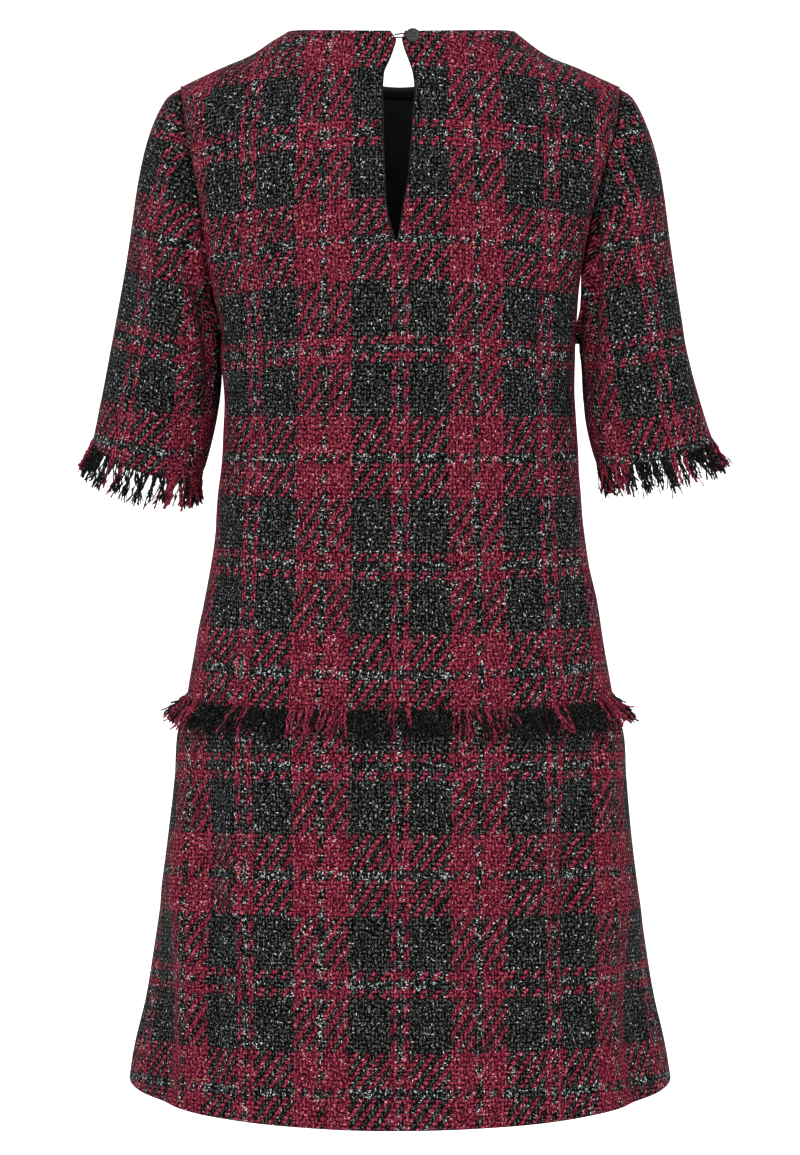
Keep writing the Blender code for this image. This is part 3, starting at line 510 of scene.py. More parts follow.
def withTurnedHem(points, flat):
    # the cloth runs round the hem's fold and up the inside
    normals = normalsOf(points)
    down = unit(points[-1] - points[-2])
    radius = skirt["hemTurn"]
    rows = []
    places = []
    for angle in np.linspace(0, math.pi, 6)[1:]:
        rows.append(points[-1] + down * radius * math.sin(angle) - normals[-1] * radius * (1 - math.cos(angle)))
        places.append(flat[-1] - np.array((0, radius * angle)))
    heights = lengthAlong(points[::-1, points.shape[1] // 2])
    for rise in np.linspace(0, skirt["hemDepth"], skirt["hemRows"])[1:]:
        row = len(points) - 1 - np.interp(rise, heights, np.arange(len(heights)))
        low = int(math.floor(row))
        share = row - low
        high = min(low + 1, len(points) - 1)
        inner = points - 2 * radius * normals
        rows.append(inner[low] * (1 - share) + inner[high] * share)
        places.append(flat[-1] - np.array((0, radius * math.pi + rise)))
    return np.concatenate((points, rows)), np.concatenate((flat, places))


sleeve = {
    "names": ("side", "x", "y", "z", "halfWidth", "halfDepth", "tilt", "pitch", "lean", "underLean"),
    "left": (-1, 0.2154, 0.022, -0.3340, 0.0488, 0.0500, 17.6, 12.0, 15.6, 0.06),
    "right": (1, 0.2167, 0.012, -0.3295, 0.0502, 0.0500, 12.2, 4.0, 21.0, 0.30),
    "capLean": 1.13, "sideLean": 0.66, "capSwell": 0.40, "capReach": 0.20, "cuffReach": 0.43,
    "forearmPitch": 5.0, "rows": 72,
}


def sleeveGrid(back, front, name):
    cut = dict(zip(sleeve["names"], sleeve[name]))
    side = cut["side"]
    tip = bodice["shoulderTip"] * bodice["rowSteps"]
    under = bodice["underarm"] * bodice["rowSteps"]
    behind = back[tip:under + 1, -1 if side > 0 else 0].copy()
    before = front[tip:under + 1, 0 if side > 0 else -1].copy()
    for half in (behind, before):
        half[(0, -1), 1] = 0
    first, second = (before, behind) if side > 0 else (behind, before)
    loop = np.concatenate((first, second[-2:0:-1]))
    half = len(loop) // 2
    along = lengthAlong(np.concatenate((loop, loop[:1])))
    angle = math.pi * np.concatenate((along[:half] / along[half],
                                      1 + (along[half:-1] - along[half]) / (along[-1] - along[half])))
    middleZ = (loop[0, 2] + loop[half, 2]) / 2
    radial = unit(np.stack((np.zeros(len(loop)), loop[:, 1], loop[:, 2] - middleZ), axis=1))
    start = loop + np.array((side * cloth["gap"], 0, 0))
    tilt = math.radians(cut["tilt"])
    pitch = math.radians(cut["pitch"])
    outward = np.array((side * math.cos(tilt), 0, math.sin(tilt))) * cut["halfWidth"]
    forward = np.array((0, math.cos(pitch), math.sin(pitch))) * cut["halfDepth"]
    end = (np.array((side * cut["x"], cut["y"], cut["z"])) + np.outer(np.cos(angle), outward)
           + np.outer(side * np.sin(angle), forward))
    height = radial[:, 2]
    outerLean = sleeve["sideLean"] + (sleeve["capLean"] - sleeve["sideLean"]) * height
    innerLean = sleeve["sideLean"] + (sleeve["sideLean"] - cut["underLean"]) * height
    away = side * np.where(height > 0, outerLean, innerLean)
    leave = unit(np.stack((away, sleeve["capSwell"] * radial[:, 1], -np.ones(len(loop))), axis=1))
    lean = math.radians(cut["lean"])
    arrive = unit(np.array((side * math.sin(lean), math.sin(math.radians(sleeve["forearmPitch"])),
                            -math.cos(lean))))
    reach = np.linalg.norm(end - start, axis=1, keepdims=True)
    after = start + leave * reach * sleeve["capReach"]
    before = end - arrive * reach * sleeve["cuffReach"]
    rows = [start * (1 - t) ** 3 + after * 3 * t * (1 - t) ** 2 + before * 3 * t ** 2 * (1 - t) + end * t ** 3
            for t in np.linspace(0, 1, sleeve["rows"] + 1)]
    return np.roll(np.array(rows), half, axis=1)        # from the underarm round the tip and back


# Folds: each one's line of points (x, z) as seen from the back or the front,
# its half width and its depth, below zero for a ridge.
folds = {
    "bodiceBack": (
        (((-0.150, -0.262), (-0.128, -0.300), (-0.118, -0.345)), 0.010, 0.0036),
        (((0.147, -0.262), (0.126, -0.296), (0.112, -0.352)), 0.011, 0.0040),
        (((-0.152, -0.215), (-0.120, -0.205), (-0.088, -0.208)), 0.009, 0.0022),
        (((0.148, -0.200), (0.112, -0.188), (0.082, -0.194)), 0.009, 0.0024),
        (((0.150, -0.060), (0.128, -0.095), (0.118, -0.140)), 0.012, 0.0030),
        (((-0.152, -0.055), (-0.134, -0.100), (-0.120, -0.150)), 0.011, 0.0026),
        (((-0.150, -0.400), (-0.140, -0.455), (-0.143, -0.528)), 0.013, 0.0036),
        (((0.148, -0.410), (0.142, -0.470), (0.150, -0.528)), 0.013, 0.0038),
        (((0.030, -0.330), (0.036, -0.420), (0.030, -0.500)), 0.028, 0.0022),
        (((-0.052, -0.300), (-0.060, -0.400), (-0.056, -0.510)), 0.032, 0.0022),
        (((-0.1490, -0.244), (-0.1490, -0.262), (-0.1495, -0.282)), 0.010, -0.0020),
    ),
    "bodiceFront": (
        (((-0.145, -0.225), (-0.112, -0.236), (-0.080, -0.240)), 0.014, 0.0034),
        (((0.144, -0.228), (0.106, -0.240), (0.074, -0.238)), 0.013, 0.0030),
        (((-0.140, -0.262), (-0.120, -0.320), (-0.116, -0.390)), 0.013, 0.0026),
        (((0.140, -0.266), (0.124, -0.330), (0.122, -0.380)), 0.012, 0.0024),
        (((-0.138, -0.060), (-0.120, -0.100), (-0.110, -0.150)), 0.013, 0.0020),
        (((0.140, -0.058), (0.118, -0.098), (0.112, -0.144)), 0.012, 0.0018),
        (((-0.060, -0.340), (-0.068, -0.430), (-0.062, -0.520)), 0.030, 0.0024),
        (((0.074, -0.350), (0.080, -0.440), (0.072, -0.522)), 0.028, 0.0022),
        (((-0.1490, -0.244), (-0.1490, -0.262), (-0.1495, -0.282)), 0.010, -0.0020),
    ),
    "skirtBack": (
        (((-0.163, -0.562), (-0.160, -0.660), (-0.158, -0.770), (-0.163, -0.850)), 0.014, 0.0120),
        (((-0.196, -0.720), (-0.202, -0.800), (-0.206, -0.880)), 0.014, 0.0130),
        (((0.170, -0.545), (0.158, -0.590), (0.146, -0.640), (0.140, -0.720), (0.142, -0.800)), 0.012, 0.0125),
        (((0.198, -0.740), (0.202, -0.810), (0.204, -0.880)), 0.014, 0.0125),
        (((0.118, -0.560), (0.108, -0.610), (0.104, -0.660)), 0.013, -0.0030),
        (((0.060, -0.640), (0.068, -0.740), (0.074, -0.872)), 0.028, 0.0036),
        (((-0.060, -0.640), (-0.072, -0.750), (-0.078, -0.872)), 0.028, 0.0034),
        (((-0.184, -0.640), (-0.186, -0.740), (-0.190, -0.830)), 0.010, -0.0036),
    ),
    "skirtFront": (
        (((-0.150, -0.600), (-0.158, -0.740), (-0.165, -0.890)), 0.022, 0.0085),
        (((0.060, -0.640), (0.066, -0.760), (0.070, -0.890)), 0.024, 0.0050),
        (((0.155, -0.570), (0.150, -0.700), (0.152, -0.860)), 0.020, 0.0085),
        (((-0.050, -0.680), (-0.060, -0.780), (-0.064, -0.890)), 0.026, 0.0045),
        (((0.195, -0.720), (0.200, -0.890)), 0.015, 0.0080),
    ),
    "sleeveLeft": (
        (((-0.198, -0.160), (-0.186, -0.177), (-0.171, -0.184), (-0.160, -0.198), (-0.156, -0.230),
          (-0.156, -0.275)), 0.0075, 0.0110),
        (((-0.212, -0.146), (-0.192, -0.158), (-0.172, -0.163)), 0.009, -0.0034),
        (((-0.176, -0.060), (-0.176, -0.110), (-0.168, -0.150)), 0.008, 0.0046),
        (((-0.205, -0.205), (-0.186, -0.222), (-0.174, -0.250)), 0.009, 0.0044),
        (((-0.238, -0.225), (-0.216, -0.232), (-0.196, -0.246)), 0.010, 0.0032),
        (((-0.190, -0.270), (-0.184, -0.300), (-0.182, -0.335)), 0.010, 0.0034),
    ),
    "sleeveRight": (
        (((0.162, -0.085), (0.156, -0.142), (0.154, -0.200), (0.155, -0.275)), 0.0075, 0.0125),
        (((0.186, -0.075), (0.178, -0.110), (0.168, -0.150)), 0.009, 0.0052),
        (((0.214, -0.165), (0.192, -0.182), (0.170, -0.192)), 0.009, 0.0044),
        (((0.172, -0.200), (0.180, -0.240), (0.190, -0.280)), 0.010, -0.0034),
        (((0.240, -0.235), (0.214, -0.246), (0.190, -0.248)), 0.010, 0.0036),
        (((0.186, -0.270), (0.192, -0.300), (0.196, -0.330)), 0.010, 0.0034),
    ),
    "frontShift": 0.012,    # the sleeves' hidden sides take the same folds, moved down
}


def toLine(points, line):
    nearest = np.full(points.shape[:-1], 9.0)
    share = np.zeros(points.shape[:-1])
    lengths = lengthAlong(line)
    for index in range(len(line) - 1):
        step = line[index + 1] - line[index]
        part = np.clip(((points - line[index]) @ step) / (step @ step), 0, 1)
        gap = np.linalg.norm(points - line[index] - part[..., None] * step, axis=-1)
        here = (lengths[index] + part * (lengths[index + 1] - lengths[index])) / lengths[-1]
        share = np.where(gap < nearest, here, share)
        nearest = np.minimum(gap, nearest)
    return nearest, share


def withFolds(points, name, facing=0, shift=0.0, closed=False):
    normals = normalsOf(points, closed)
    seen = np.clip(normals[..., 1] * facing * 2.5, 0, 1) if facing else np.ones(points.shape[:2])
    amount = np.zeros(points.shape[:2])
    places = points[..., (0, 2)] + np.array((0, shift))
    across = np.arange(points.shape[1])
    atSeam = 1.0 if closed else np.clip(np.minimum(across, across[::-1]) / soft["fade"], 0, 1)
    for line, halfWidth, depth in folds[name]:
        gap, share = toLine(places, np.array(line))
        swell = np.sin(math.pi * (0.08 + 0.84 * share)) ** 0.7
        held = atSeam if depth > 0 else 1.0         # the seam keeps both pieces' troughs level
        amount += depth * np.exp(-(gap / halfWidth) ** 2) * swell * seen * held
    return points - normals * amount[..., None]


soft = {
    "waves": ((0.21, 0.0010), (0.13, 0.0008), (0.08, 0.0005), (0.047, 0.0003)),     # length and height
    "fade": 5,              # grid strips over which they die out at an edge
    "seamRoll": 0.0012,     # how far the cloth turns in at a seam
    "capRoll": 0.0016,
    "rollReach": 3.0,       # grid strips that the turn takes
    "tuck": 0.0027, "allowance": 0.0060,    # how the sleeve's seam allowance lies inside the bodice
}


def softened(points, closed, seed):
    normals = normalsOf(points, closed)
    source = np.random.default_rng(seed)
    swell = np.zeros(points.shape[:2])
    for size, height in soft["waves"]:
        heading = unit(source.normal(size=3))
        swell += height * np.sin(points @ heading * (2 * math.pi / size) + source.uniform(0, 6.3))
    if not closed:
        across = np.arange(points.shape[1])
        swell *= np.clip(np.minimum(across, across[::-1]) / soft["fade"], 0, 1)
    rows = np.arange(points.shape[0])
    swell *= np.clip(np.minimum(rows, rows[::-1]) / soft["fade"], 0, 1)[:, None]
    return points + normals * swell[..., None]


def rolledIn(points, closed, top, sides, depth):
    normals = normalsOf(points, closed)
    amount = np.zeros(points.shape[:2])
    rows = np.arange(points.shape[0])[:, None]
    across = np.arange(points.shape[1])[None, :]
    if top:
        amount = np.maximum(amount, depth * np.exp(-(rows / soft["rollReach"]) ** 2))
    if sides:
        nearest = np.minimum(across, across[:, ::-1])
        amount = np.maximum(amount, depth * np.exp(-(nearest / soft["rollReach"]) ** 2))
    return points - normals * amount[..., None]


def withAllowance(points, flat):
    # the sleeve's seam allowance turns in and lies inside the bodice's edge
    edge = points[0]
    first = edge + unit((edge.mean(axis=0) - edge) * np.array((0, 1, 1))) * soft["tuck"]
    second = first - np.array((math.copysign(soft["allowance"], edge[0, 0]), 0, 0))
    above = np.array((0, soft["tuck"]))
    places = np.stack((flat[0] + above + np.array((0, soft["allowance"])), flat[0] + above))
    return np.concatenate((np.stack((second, first)), points)), np.concatenate((places, flat))


# Cut of a piece: its grid laid flat so that its small lengths stay as they are, which also
# gives each point its place on the check. It is solved on a coarse grid and read smoothly.
laying = {"rows": 22, "columns": 21, "rounds": 500}


def laidFlat(points):
    rowPick = np.unique(np.linspace(0, points.shape[0] - 1, laying["rows"]).round().astype(int))
    columnPick = np.unique(np.linspace(0, points.shape[1] - 1, laying["columns"]).round().astype(int))
    coarse = points[np.ix_(rowPick, columnPick)]
    rows, columns = coarse.shape[:2]
    number = np.arange(rows * columns).reshape(rows, columns)
    pairs = np.concatenate([np.stack((first.ravel(), second.ravel()), axis=1) for first, second in (
        (number[:-1], number[1:]), (number[:, :-1], number[:, 1:]),
        (number[:-1, :-1], number[1:, 1:]), (number[1:, :-1], number[:-1, 1:]))])
    middle = columns // 2
    down = lengthAlong(coarse[:, middle])
    flat = np.empty((rows, columns, 2))
    for row in range(rows):
        along = lengthAlong(coarse[row])
        flat[row, :, 0] = along - along[middle]
        flat[row, :, 1] = -down[row] + (coarse[row, :, 2] - coarse[row, middle, 2])
    flat = flat.reshape(-1, 2)
    solid = coarse.reshape(-1, 3)
    first, second = pairs[:, 0], pairs[:, 1]
    rest = np.linalg.norm(solid[first] - solid[second], axis=1)
    pull = np.zeros((len(flat), len(flat)))
    np.add.at(pull, (first, first), 1)
    np.add.at(pull, (second, second), 1)
    np.add.at(pull, (first, second), -1)
    np.add.at(pull, (second, first), -1)
    settle = np.linalg.pinv(pull)
    for _ in range(laying["rounds"]):
        step = flat[first] - flat[second]
        step *= (rest / np.maximum(np.linalg.norm(step, axis=1), 1e-6))[:, None]
        force = np.zeros_like(flat)
        np.add.at(force, first, step)
        np.add.at(force, second, -step)
        flat = settle @ force
    flat = flat.reshape(rows, columns, 2)
    line = flat[-1, middle] - flat[0, middle]
    turn = math.atan2(line[0], -line[1])
    spin = np.array(((math.cos(turn), -math.sin(turn)), (math.sin(turn), math.cos(turn))))
    flat = (flat - flat[-1, middle]) @ spin
    read = through(rowPick.astype(float), flat, np.arange(points.shape[0], dtype=float)).transpose(1, 0, 2)
    read = through(columnPick.astype(float), read, np.arange(points.shape[1], dtype=float))
    return read.transpose(1, 0, 2)


def linked(name, data, material):
    data.materials.append(material)
    return inScene(name, data)


def applied(piece):
    # every modifier's result becomes the piece's own mesh
    bpy.context.view_layer.update()
    shape = bpy.data.meshes.new_from_object(piece.evaluated_get(bpy.context.evaluated_depsgraph_get()))
    if piece.type == "MESH":
        piece.modifiers.clear()
        piece.data = shape
        return piece
    name = piece.name
    bpy.data.objects.remove(piece, do_unlink=True)
    return inScene(name, shape)


def shell(name, points, flat, material, thickness, closed=False):
    rows, columns = flat.shape[:2]
    wrap = columns - 1 if closed else columns
    faces = []
    places = []
    for row in range(rows - 1):
        for column in range(columns - 1):
            corners = ((row, column), (row + 1, column), (row + 1, column + 1), (row, column + 1))
            faces.append([r * wrap + c % wrap for r, c in corners])
            places += [flat[r, c] for r, c in corners]
    mesh = bpy.data.meshes.new(name)
    mesh.from_pydata(points[:, :wrap].reshape(-1, 3).tolist(), [], faces)
    layer = mesh.uv_layers.new(name="cloth")
    layer.data.foreach_set("uv", np.array(places, dtype=np.float32).ravel())
    mesh.shade_smooth()
    piece = linked(name, mesh, material)
    wall = piece.modifiers.new("wall", "SOLIDIFY")
    wall.thickness = thickness
    wall.offset = -1
    return applied(piece)


def onRoot(piece, nodes):
    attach(piece, "root")
    if nodes:
        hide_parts(*nodes)


# Where each cut lies on the check, in metres across and up, from the stripes in the photograph
placing = {
    "bodiceBack": (0.0, 0.0293), "bodiceFront": (0.0, 0.0293),
    "skirtBack": (0.0, -0.1348), "skirtFront": (0.0, -0.1348),
    "sleeveLeft": (0.053, 0.006), "sleeveRight": (-0.060, 0.003),
    "ease": (-0.36, -0.16), "droop": 0.0120, "gather": 0.055,   # the yoke is eased over the shoulders
}
nodeOf = {
    "bodiceBack": "bodice_back", "bodiceFront": "bodice_front", "skirtBack": "skirt_back",
    "skirtFront": "skirt_front", "sleeveLeft": "sleeve_left", "sleeveRight": "sleeve_right",
}
plain = {"bodiceBack": bodiceGrid("back", -1), "bodiceFront": bodiceGrid("front", 1)}
plain["skirtBack"], waistRow = skirtGrid("back", -1, plain["bodiceBack"])
plain["skirtFront"], waistRow = skirtGrid("front", 1, plain["bodiceFront"])
for side in ("left", "right"):
    grid = sleeveGrid(plain["bodiceBack"], plain["bodiceFront"], side)
    plain["sleeve" + side.title()] = np.concatenate((grid, grid[:, :1]), axis=1)

pieces = {}
grids = {}          # each panel's outer surface, with its folds
cuts = {}           # the same points laid flat, placed on the check

for seed, name in enumerate(nodeOf):
    points = plain[name]
    closed = name.startswith("sleeve")
    flat = laidFlat(points)
    if name.startswith("skirt"):
        flat = flat - np.array((0, flat[waistRow, flat.shape[1] // 2, 1]))
    body = points[:, :-1] if closed else points
    if closed:
        body = withFolds(body, name, -1, closed=True)
        body = withFolds(body, name, 1, folds["frontShift"], closed=True)
        body = rolledIn(body, True, True, False, soft["capRoll"])
    else:
        body = withFolds(body, name)
        body = rolledIn(body, False, False, True, soft["seamRoll"])
    body = softened(body, closed, seed + 3)
    grids[name] = np.concatenate((body, body[:, :1]), axis=1) if closed else body
    cuts[name] = flat - np.array(placing[name])
    if name.startswith("bodice"):
        low, high = placing["ease"]
        eased = np.clip((points[..., 2] - low) / (high - low), 0, 1)
        eased = eased * eased * (3 - 2 * eased)
        cuts[name][..., 0] *= 1 + placing["gather"] * eased
        cuts[name][..., 1] += placing["droop"] * eased * np.minimum((points[..., 0] / 0.150) ** 2, 1.3)
    outer, mapped = grids[name], cuts[name]
    if name.startswith("skirt"):
        outer, mapped = withTurnedHem(outer, mapped)
    elif closed:
        outer, mapped = withAllowance(outer, mapped)
    pieces[name] = shell(name, outer, mapped, tweedCloth, cloth["tweed"], closed)


# Keyhole: its opening is cut through the back, and a fine dark edge runs round it

keyhole = {
    "outline": (                # height, left edge and right edge
        (0.0300, -0.0085, 0.0050), (0.0165, -0.0070, 0.0035), (0.0136, -0.0047, 0.0025),
        (0.0021, -0.0061, 0.0045), (-0.0069, -0.0094, 0.0078), (-0.0151, -0.0131, 0.0105),
        (-0.0233, -0.0141, 0.0119), (-0.0534, -0.0137, 0.0106), (-0.0803, -0.0135, 0.0086),
        (-0.1074, -0.0121, 0.0061), (-0.1279, -0.0108, 0.0023), (-0.1417, -0.0074, 0.0004),
        (-0.1530, -0.0040, -0.0020),
    ),
    "steps": 70,
    "cutFrom": -0.17, "cutTo": -0.05,       # the cutter's reach in y
    "edgeRadius": 0.0008, "edgeSink": 0.0006, "edgeTop": 0.0125,
}


def keyholeOutline():
    table = np.array(keyhole["outline"])
    read = through(-table[:, 0], table, np.linspace(-table[0, 0], -table[-1, 0], keyhole["steps"]))
    left = read[:, (1, 0)]
    right = read[:, (2, 0)]
    return np.concatenate((left, right[::-1]))


def cutKeyhole(piece):
    outline = keyholeOutline()
    shape = bmesh.new()
    near = [shape.verts.new((x, keyhole["cutFrom"], z)) for x, z in outline]
    front = shape.faces.new(near)
    pulled = bmesh.ops.extrude_face_region(shape, geom=[front])["geom"]
    corners = [part for part in pulled if isinstance(part, bmesh.types.BMVert)]
    bmesh.ops.translate(shape, vec=(0, keyhole["cutTo"] - keyhole["cutFrom"], 0), verts=corners)
    bmesh.ops.recalc_face_normals(shape, faces=shape.faces)
    mesh = bpy.data.meshes.new("keyholeCutter")
    shape.to_mesh(mesh)
    shape.free()
    cutter = linked("keyholeCutter", mesh, tweedCloth)
    cut = piece.modifiers.new("keyhole", "BOOLEAN")
    cut.solver = "EXACT"
    cut.object = cutter
    result = applied(piece)
    bpy.data.objects.remove(cutter, do_unlink=True)
    return result


def tube(name, points, radius, material, resolution=3):
    curve = bpy.data.curves.new(name, "CURVE")
    curve.dimensions = "3D"
    curve.bevel_depth = radius
    curve.bevel_resolution = resolution
    curve.use_fill_caps = True
    line = curve.splines.new("POLY")
    line.points.add(len(points) - 1)
    for point, place in zip(line.points, points):
        point.co = (*place, 1)
    piece = applied(linked(name, curve, material))
    piece.data.shade_smooth()
    return piece


backBefore = BVHTree.FromObject(pieces["bodiceBack"], bpy.context.evaluated_depsgraph_get())
pieces["bodiceBack"] = cutKeyhole(pieces["bodiceBack"])
edgeLine = []
for x, z in keyholeOutline():
    hit = backBefore.ray_cast(Vector((x, keyhole["cutFrom"], z)), Vector((0, 1, 0)))[0]
    if hit is not None and z < keyhole["edgeTop"]:
        edgeLine.append(hit + Vector((0, keyhole["edgeSink"], 0)))
keyholeEdge = tube("keyholeEdge", edgeLine, keyhole["edgeRadius"], cottonTape)
onRoot(keyholeEdge, ())
for name, node in nodeOf.items():
    onRoot(pieces[name], (node,))
print("panels and keyhole made")


# Inside of the front neckline, seen through the keyhole

inside = {"lastPlace": 9, "margin": 23, "tapeWidth": 0.0070, "tapeRows": 4, "tapeOver": 0.0010}


def liningShell():
    rows = slice(0, inside["lastPlace"] * bodice["rowSteps"] + 1)
    columns = slice(inside["margin"], 2 * bodice["halfColumns"] + 1 - inside["margin"])
    grid = grids["bodiceFront"]
    away = normalsOf(grid)
    outer = (grid - (cloth["tweed"] + cloth["gap"]) * away)[rows, columns]
    return outer, cuts["bodiceFront"][rows, columns]


def tapeShell():
    columns = slice(inside["margin"], 2 * bodice["halfColumns"] + 1 - inside["margin"])
    grid = grids["bodiceFront"]
    away = normalsOf(grid)
    lift = cloth["tweed"] + 2 * cloth["gap"] + cloth["lining"]
    inner = (grid - lift * away)[:6, columns]
    # its upper edge is bound over the cloth's own edge
    over = unit(grid[0] - grid[1])[columns] * inside["tapeOver"]
    edge = grid[0, columns]
    rows = [edge - away[0, columns] * 0.0004 - over * 0.5, edge + over, (edge + inner[0]) / 2 + 1.4 * over]
    for share in np.linspace(0, inside["tapeWidth"], inside["tapeRows"]):
        row = [through(lengthAlong(inner[:, column]), inner[:, column], np.array([share]))[0]
               for column in range(inner.shape[1])]
        rows.append(row)
    outer = np.array(rows)
    flat = np.empty(outer.shape[:2] + (2,))
    flat[..., 0] = lengthAlong(outer[0])[None, :]
    flat[..., 1] = -lengthAlong(outer[:, outer.shape[1] // 2])[:, None]
    return outer, flat


outer, flat = liningShell()
lining = shell("liningFront", outer, flat, liningCloth, cloth["lining"])
onRoot(lining, ("lining_front",))
outer, flat = tapeShell()
tape = shell("neckTapeFront", outer, flat, cottonTape, cloth["tape"])
onRoot(tape, ("neck_tape_front",))
print("lining and tape made, tape %.3f m long" % np.ptp(flat[..., 0]))


# Closing: a dished button on a thread stem, held by an elastic loop

closing = {
    "x": 0.0104, "z": 0.0126, "gap": 0.0003,
    "radius": 0.0058, "thick": 0.0022, "rim": 0.0011, "dish": 0.0006, "round": 0.0007,
    "turnSteps": 64, "merge": 0.00001, "holes": 4, "holeRadius": 0.0006, "holeOffset": 0.0018, "holeSides": 16,
    "stemRadius": 0.0012, "stemLength": 0.0023, "stemThread": 0.00032, "stemTurns": 4,
    "loopRadius": 0.0006, "loopRest": 0.0014, "loopSink": 0.0010,
    "rootX": -0.0046, "rootZ": 0.0116, "rootSpread": 0.0012, "crestX": 0.0016, "crestSpread": 0.0016,
}


def closingFrame():
    back = plain["bodiceBack"]
    middle = back.shape[1] // 2
    upper = back[0, middle]
    lower = back[bodice["rowSteps"], middle]
    share = (upper[2] - closing["z"]) / (upper[2] - lower[2])
    run = unit(lower - upper)
    outward = np.array((0, run[2], -run[1]))
    return upper + (lower - upper) * share, outward * math.copysign(1, -outward[1])


foot, outward = closingFrame()
upward = np.array((0, -outward[2], outward[1])) * math.copysign(1, -outward[1])


def atClosing(x, rise, height):
    return np.array((x, foot[1], foot[2])) + outward * height + upward * rise


def arc(centre, radius, start, end, count):
    return [(centre[0] + radius * math.cos(angle), centre[1] + radius * math.sin(angle))
            for angle in (math.radians(degrees) for degrees in np.linspace(start, end, count))]


def turned(name, profile, steps, merge, inward=False):
    # a profile of radii and heights, spun round the upright axis
    shape = bmesh.new()
    points = [shape.verts.new((radius, 0, height)) for radius, height in profile]
    lines = [shape.edges.new(pair) for pair in zip(points, points[1:])]
    bmesh.ops.spin(shape, geom=points + lines, axis=(0, 0, 1), cent=(0, 0, 0), angle=2 * math.pi,
                   steps=steps, use_merge=True)
    bmesh.ops.remove_doubles(shape, verts=shape.verts, dist=merge)
    bmesh.ops.recalc_face_normals(shape, faces=shape.faces)
    if inward:
        bmesh.ops.reverse_faces(shape, faces=shape.faces)
    mesh = bpy.data.meshes.new(name)
    shape.to_mesh(mesh)
    shape.free()
    return mesh


def makeButton():
    edge = closing["radius"]
    thick = closing["thick"]
    corner = closing["round"]
    rim = closing["rim"]
    profile = [(0, thick - closing["dish"])]
    profile += arc((edge - rim - 0.0006, thick - closing["dish"] + 0.0005), 0.0005, 270, 330, 5)
    profile += arc((edge - rim / 2 - 0.0001, thick - 0.0004), 0.0004, 140, 60, 5)
    profile += arc((edge - corner, thick - corner), corner, 50, 0, 4)
    profile += arc((edge - corner, corner), corner, 0, -90, 6)
    profile += [(0, 0)]
    mesh = turned("buttonPolished", profile, closing["turnSteps"], closing["merge"])
    button = linked("buttonPolished", mesh, mouldedPolyester)
    cutters = []
    for index in range(closing["holes"]):
        angle = 2 * math.pi * (index + 0.5) / closing["holes"]
        bpy.ops.mesh.primitive_cylinder_add(
            vertices=closing["holeSides"], radius=closing["holeRadius"], depth=4 * thick,
            location=(closing["holeOffset"] * math.cos(angle), closing["holeOffset"] * math.sin(angle), 0))
        cutters.append(bpy.context.active_object)
        cut = button.modifiers.new("hole", "BOOLEAN")
        cut.solver = "EXACT"
        cut.object = cutters[-1]
    button = applied(button)
    for cutter in cutters:
        bpy.data.objects.remove(cutter, do_unlink=True)
    lean = math.atan2(outward[2], -outward[1])
    lift = 2 * closing["gap"] + closing["stemLength"]
    button.data.transform(Matrix.Translation(atClosing(closing["x"], 0, lift).tolist())
                          @ Matrix.Rotation(math.radians(90) - lean, 4, "X"))
    button.data.shade_smooth()
    button.data.set_sharp_from_angle(angle=math.radians(38))
    onRoot(button, ("button",))


def makeStem():
    # thread wound round and round the few strands that hold the button
    points = []
    turns = closing["stemTurns"]
    radius = closing["stemRadius"] - closing["stemThread"]
    for angle in np.linspace(0, 2 * math.pi * turns, 16 * turns + 1):
        height = closing["gap"] + closing["stemThread"] + (closing["stemLength"] - 2 * closing["stemThread"]) \
            * angle / (2 * math.pi * turns)
        points.append(atClosing(closing["x"] + radius * math.cos(angle), radius * math.sin(angle), height))
    points += [atClosing(closing["x"], 0, height) for height in
               np.linspace(closing["stemLength"], closing["gap"] + closing["stemThread"], 6)]
    onRoot(tube("buttonStem", points, closing["stemThread"], sewingThread, 2), ("button_stem",))


def makeLoop():
    turnRadius = closing["stemRadius"] + closing["gap"] + closing["loopRadius"]
    rise = closing["rootZ"] - foot[2]
    rootX = closing["rootX"] + closing["gap"]
    crestRise = rise * (closing["x"] - closing["crestX"]) / (closing["x"] - rootX)
    path = [atClosing(rootX, rise + closing["rootSpread"], -closing["loopSink"]),
            atClosing(closing["crestX"], crestRise + closing["crestSpread"], closing["loopRest"])]
    for angle in np.radians(np.linspace(90, -90, 13)):
        path.append(atClosing(closing["x"] + turnRadius * math.cos(angle), turnRadius * math.sin(angle),
                              closing["loopRest"]))
    path += [atClosing(closing["crestX"], crestRise - closing["crestSpread"], closing["loopRest"]),
             atClosing(rootX, rise - closing["rootSpread"], -closing["loopSink"])]
    path = np.array(path)
    knots = lengthAlong(path)
    smooth = through(knots, path, np.linspace(0, knots[-1], 90))
    strands = tube("elasticLoop", smooth.tolist(), closing["loopRadius"], coveredElastic)
    onRoot(strands, ("button_loop",))


makeButton()
makeStem()
makeLoop()
print("closing made")


# Frayed edges: loose warp ends, one tube a thread, in the colours of the stripes above them

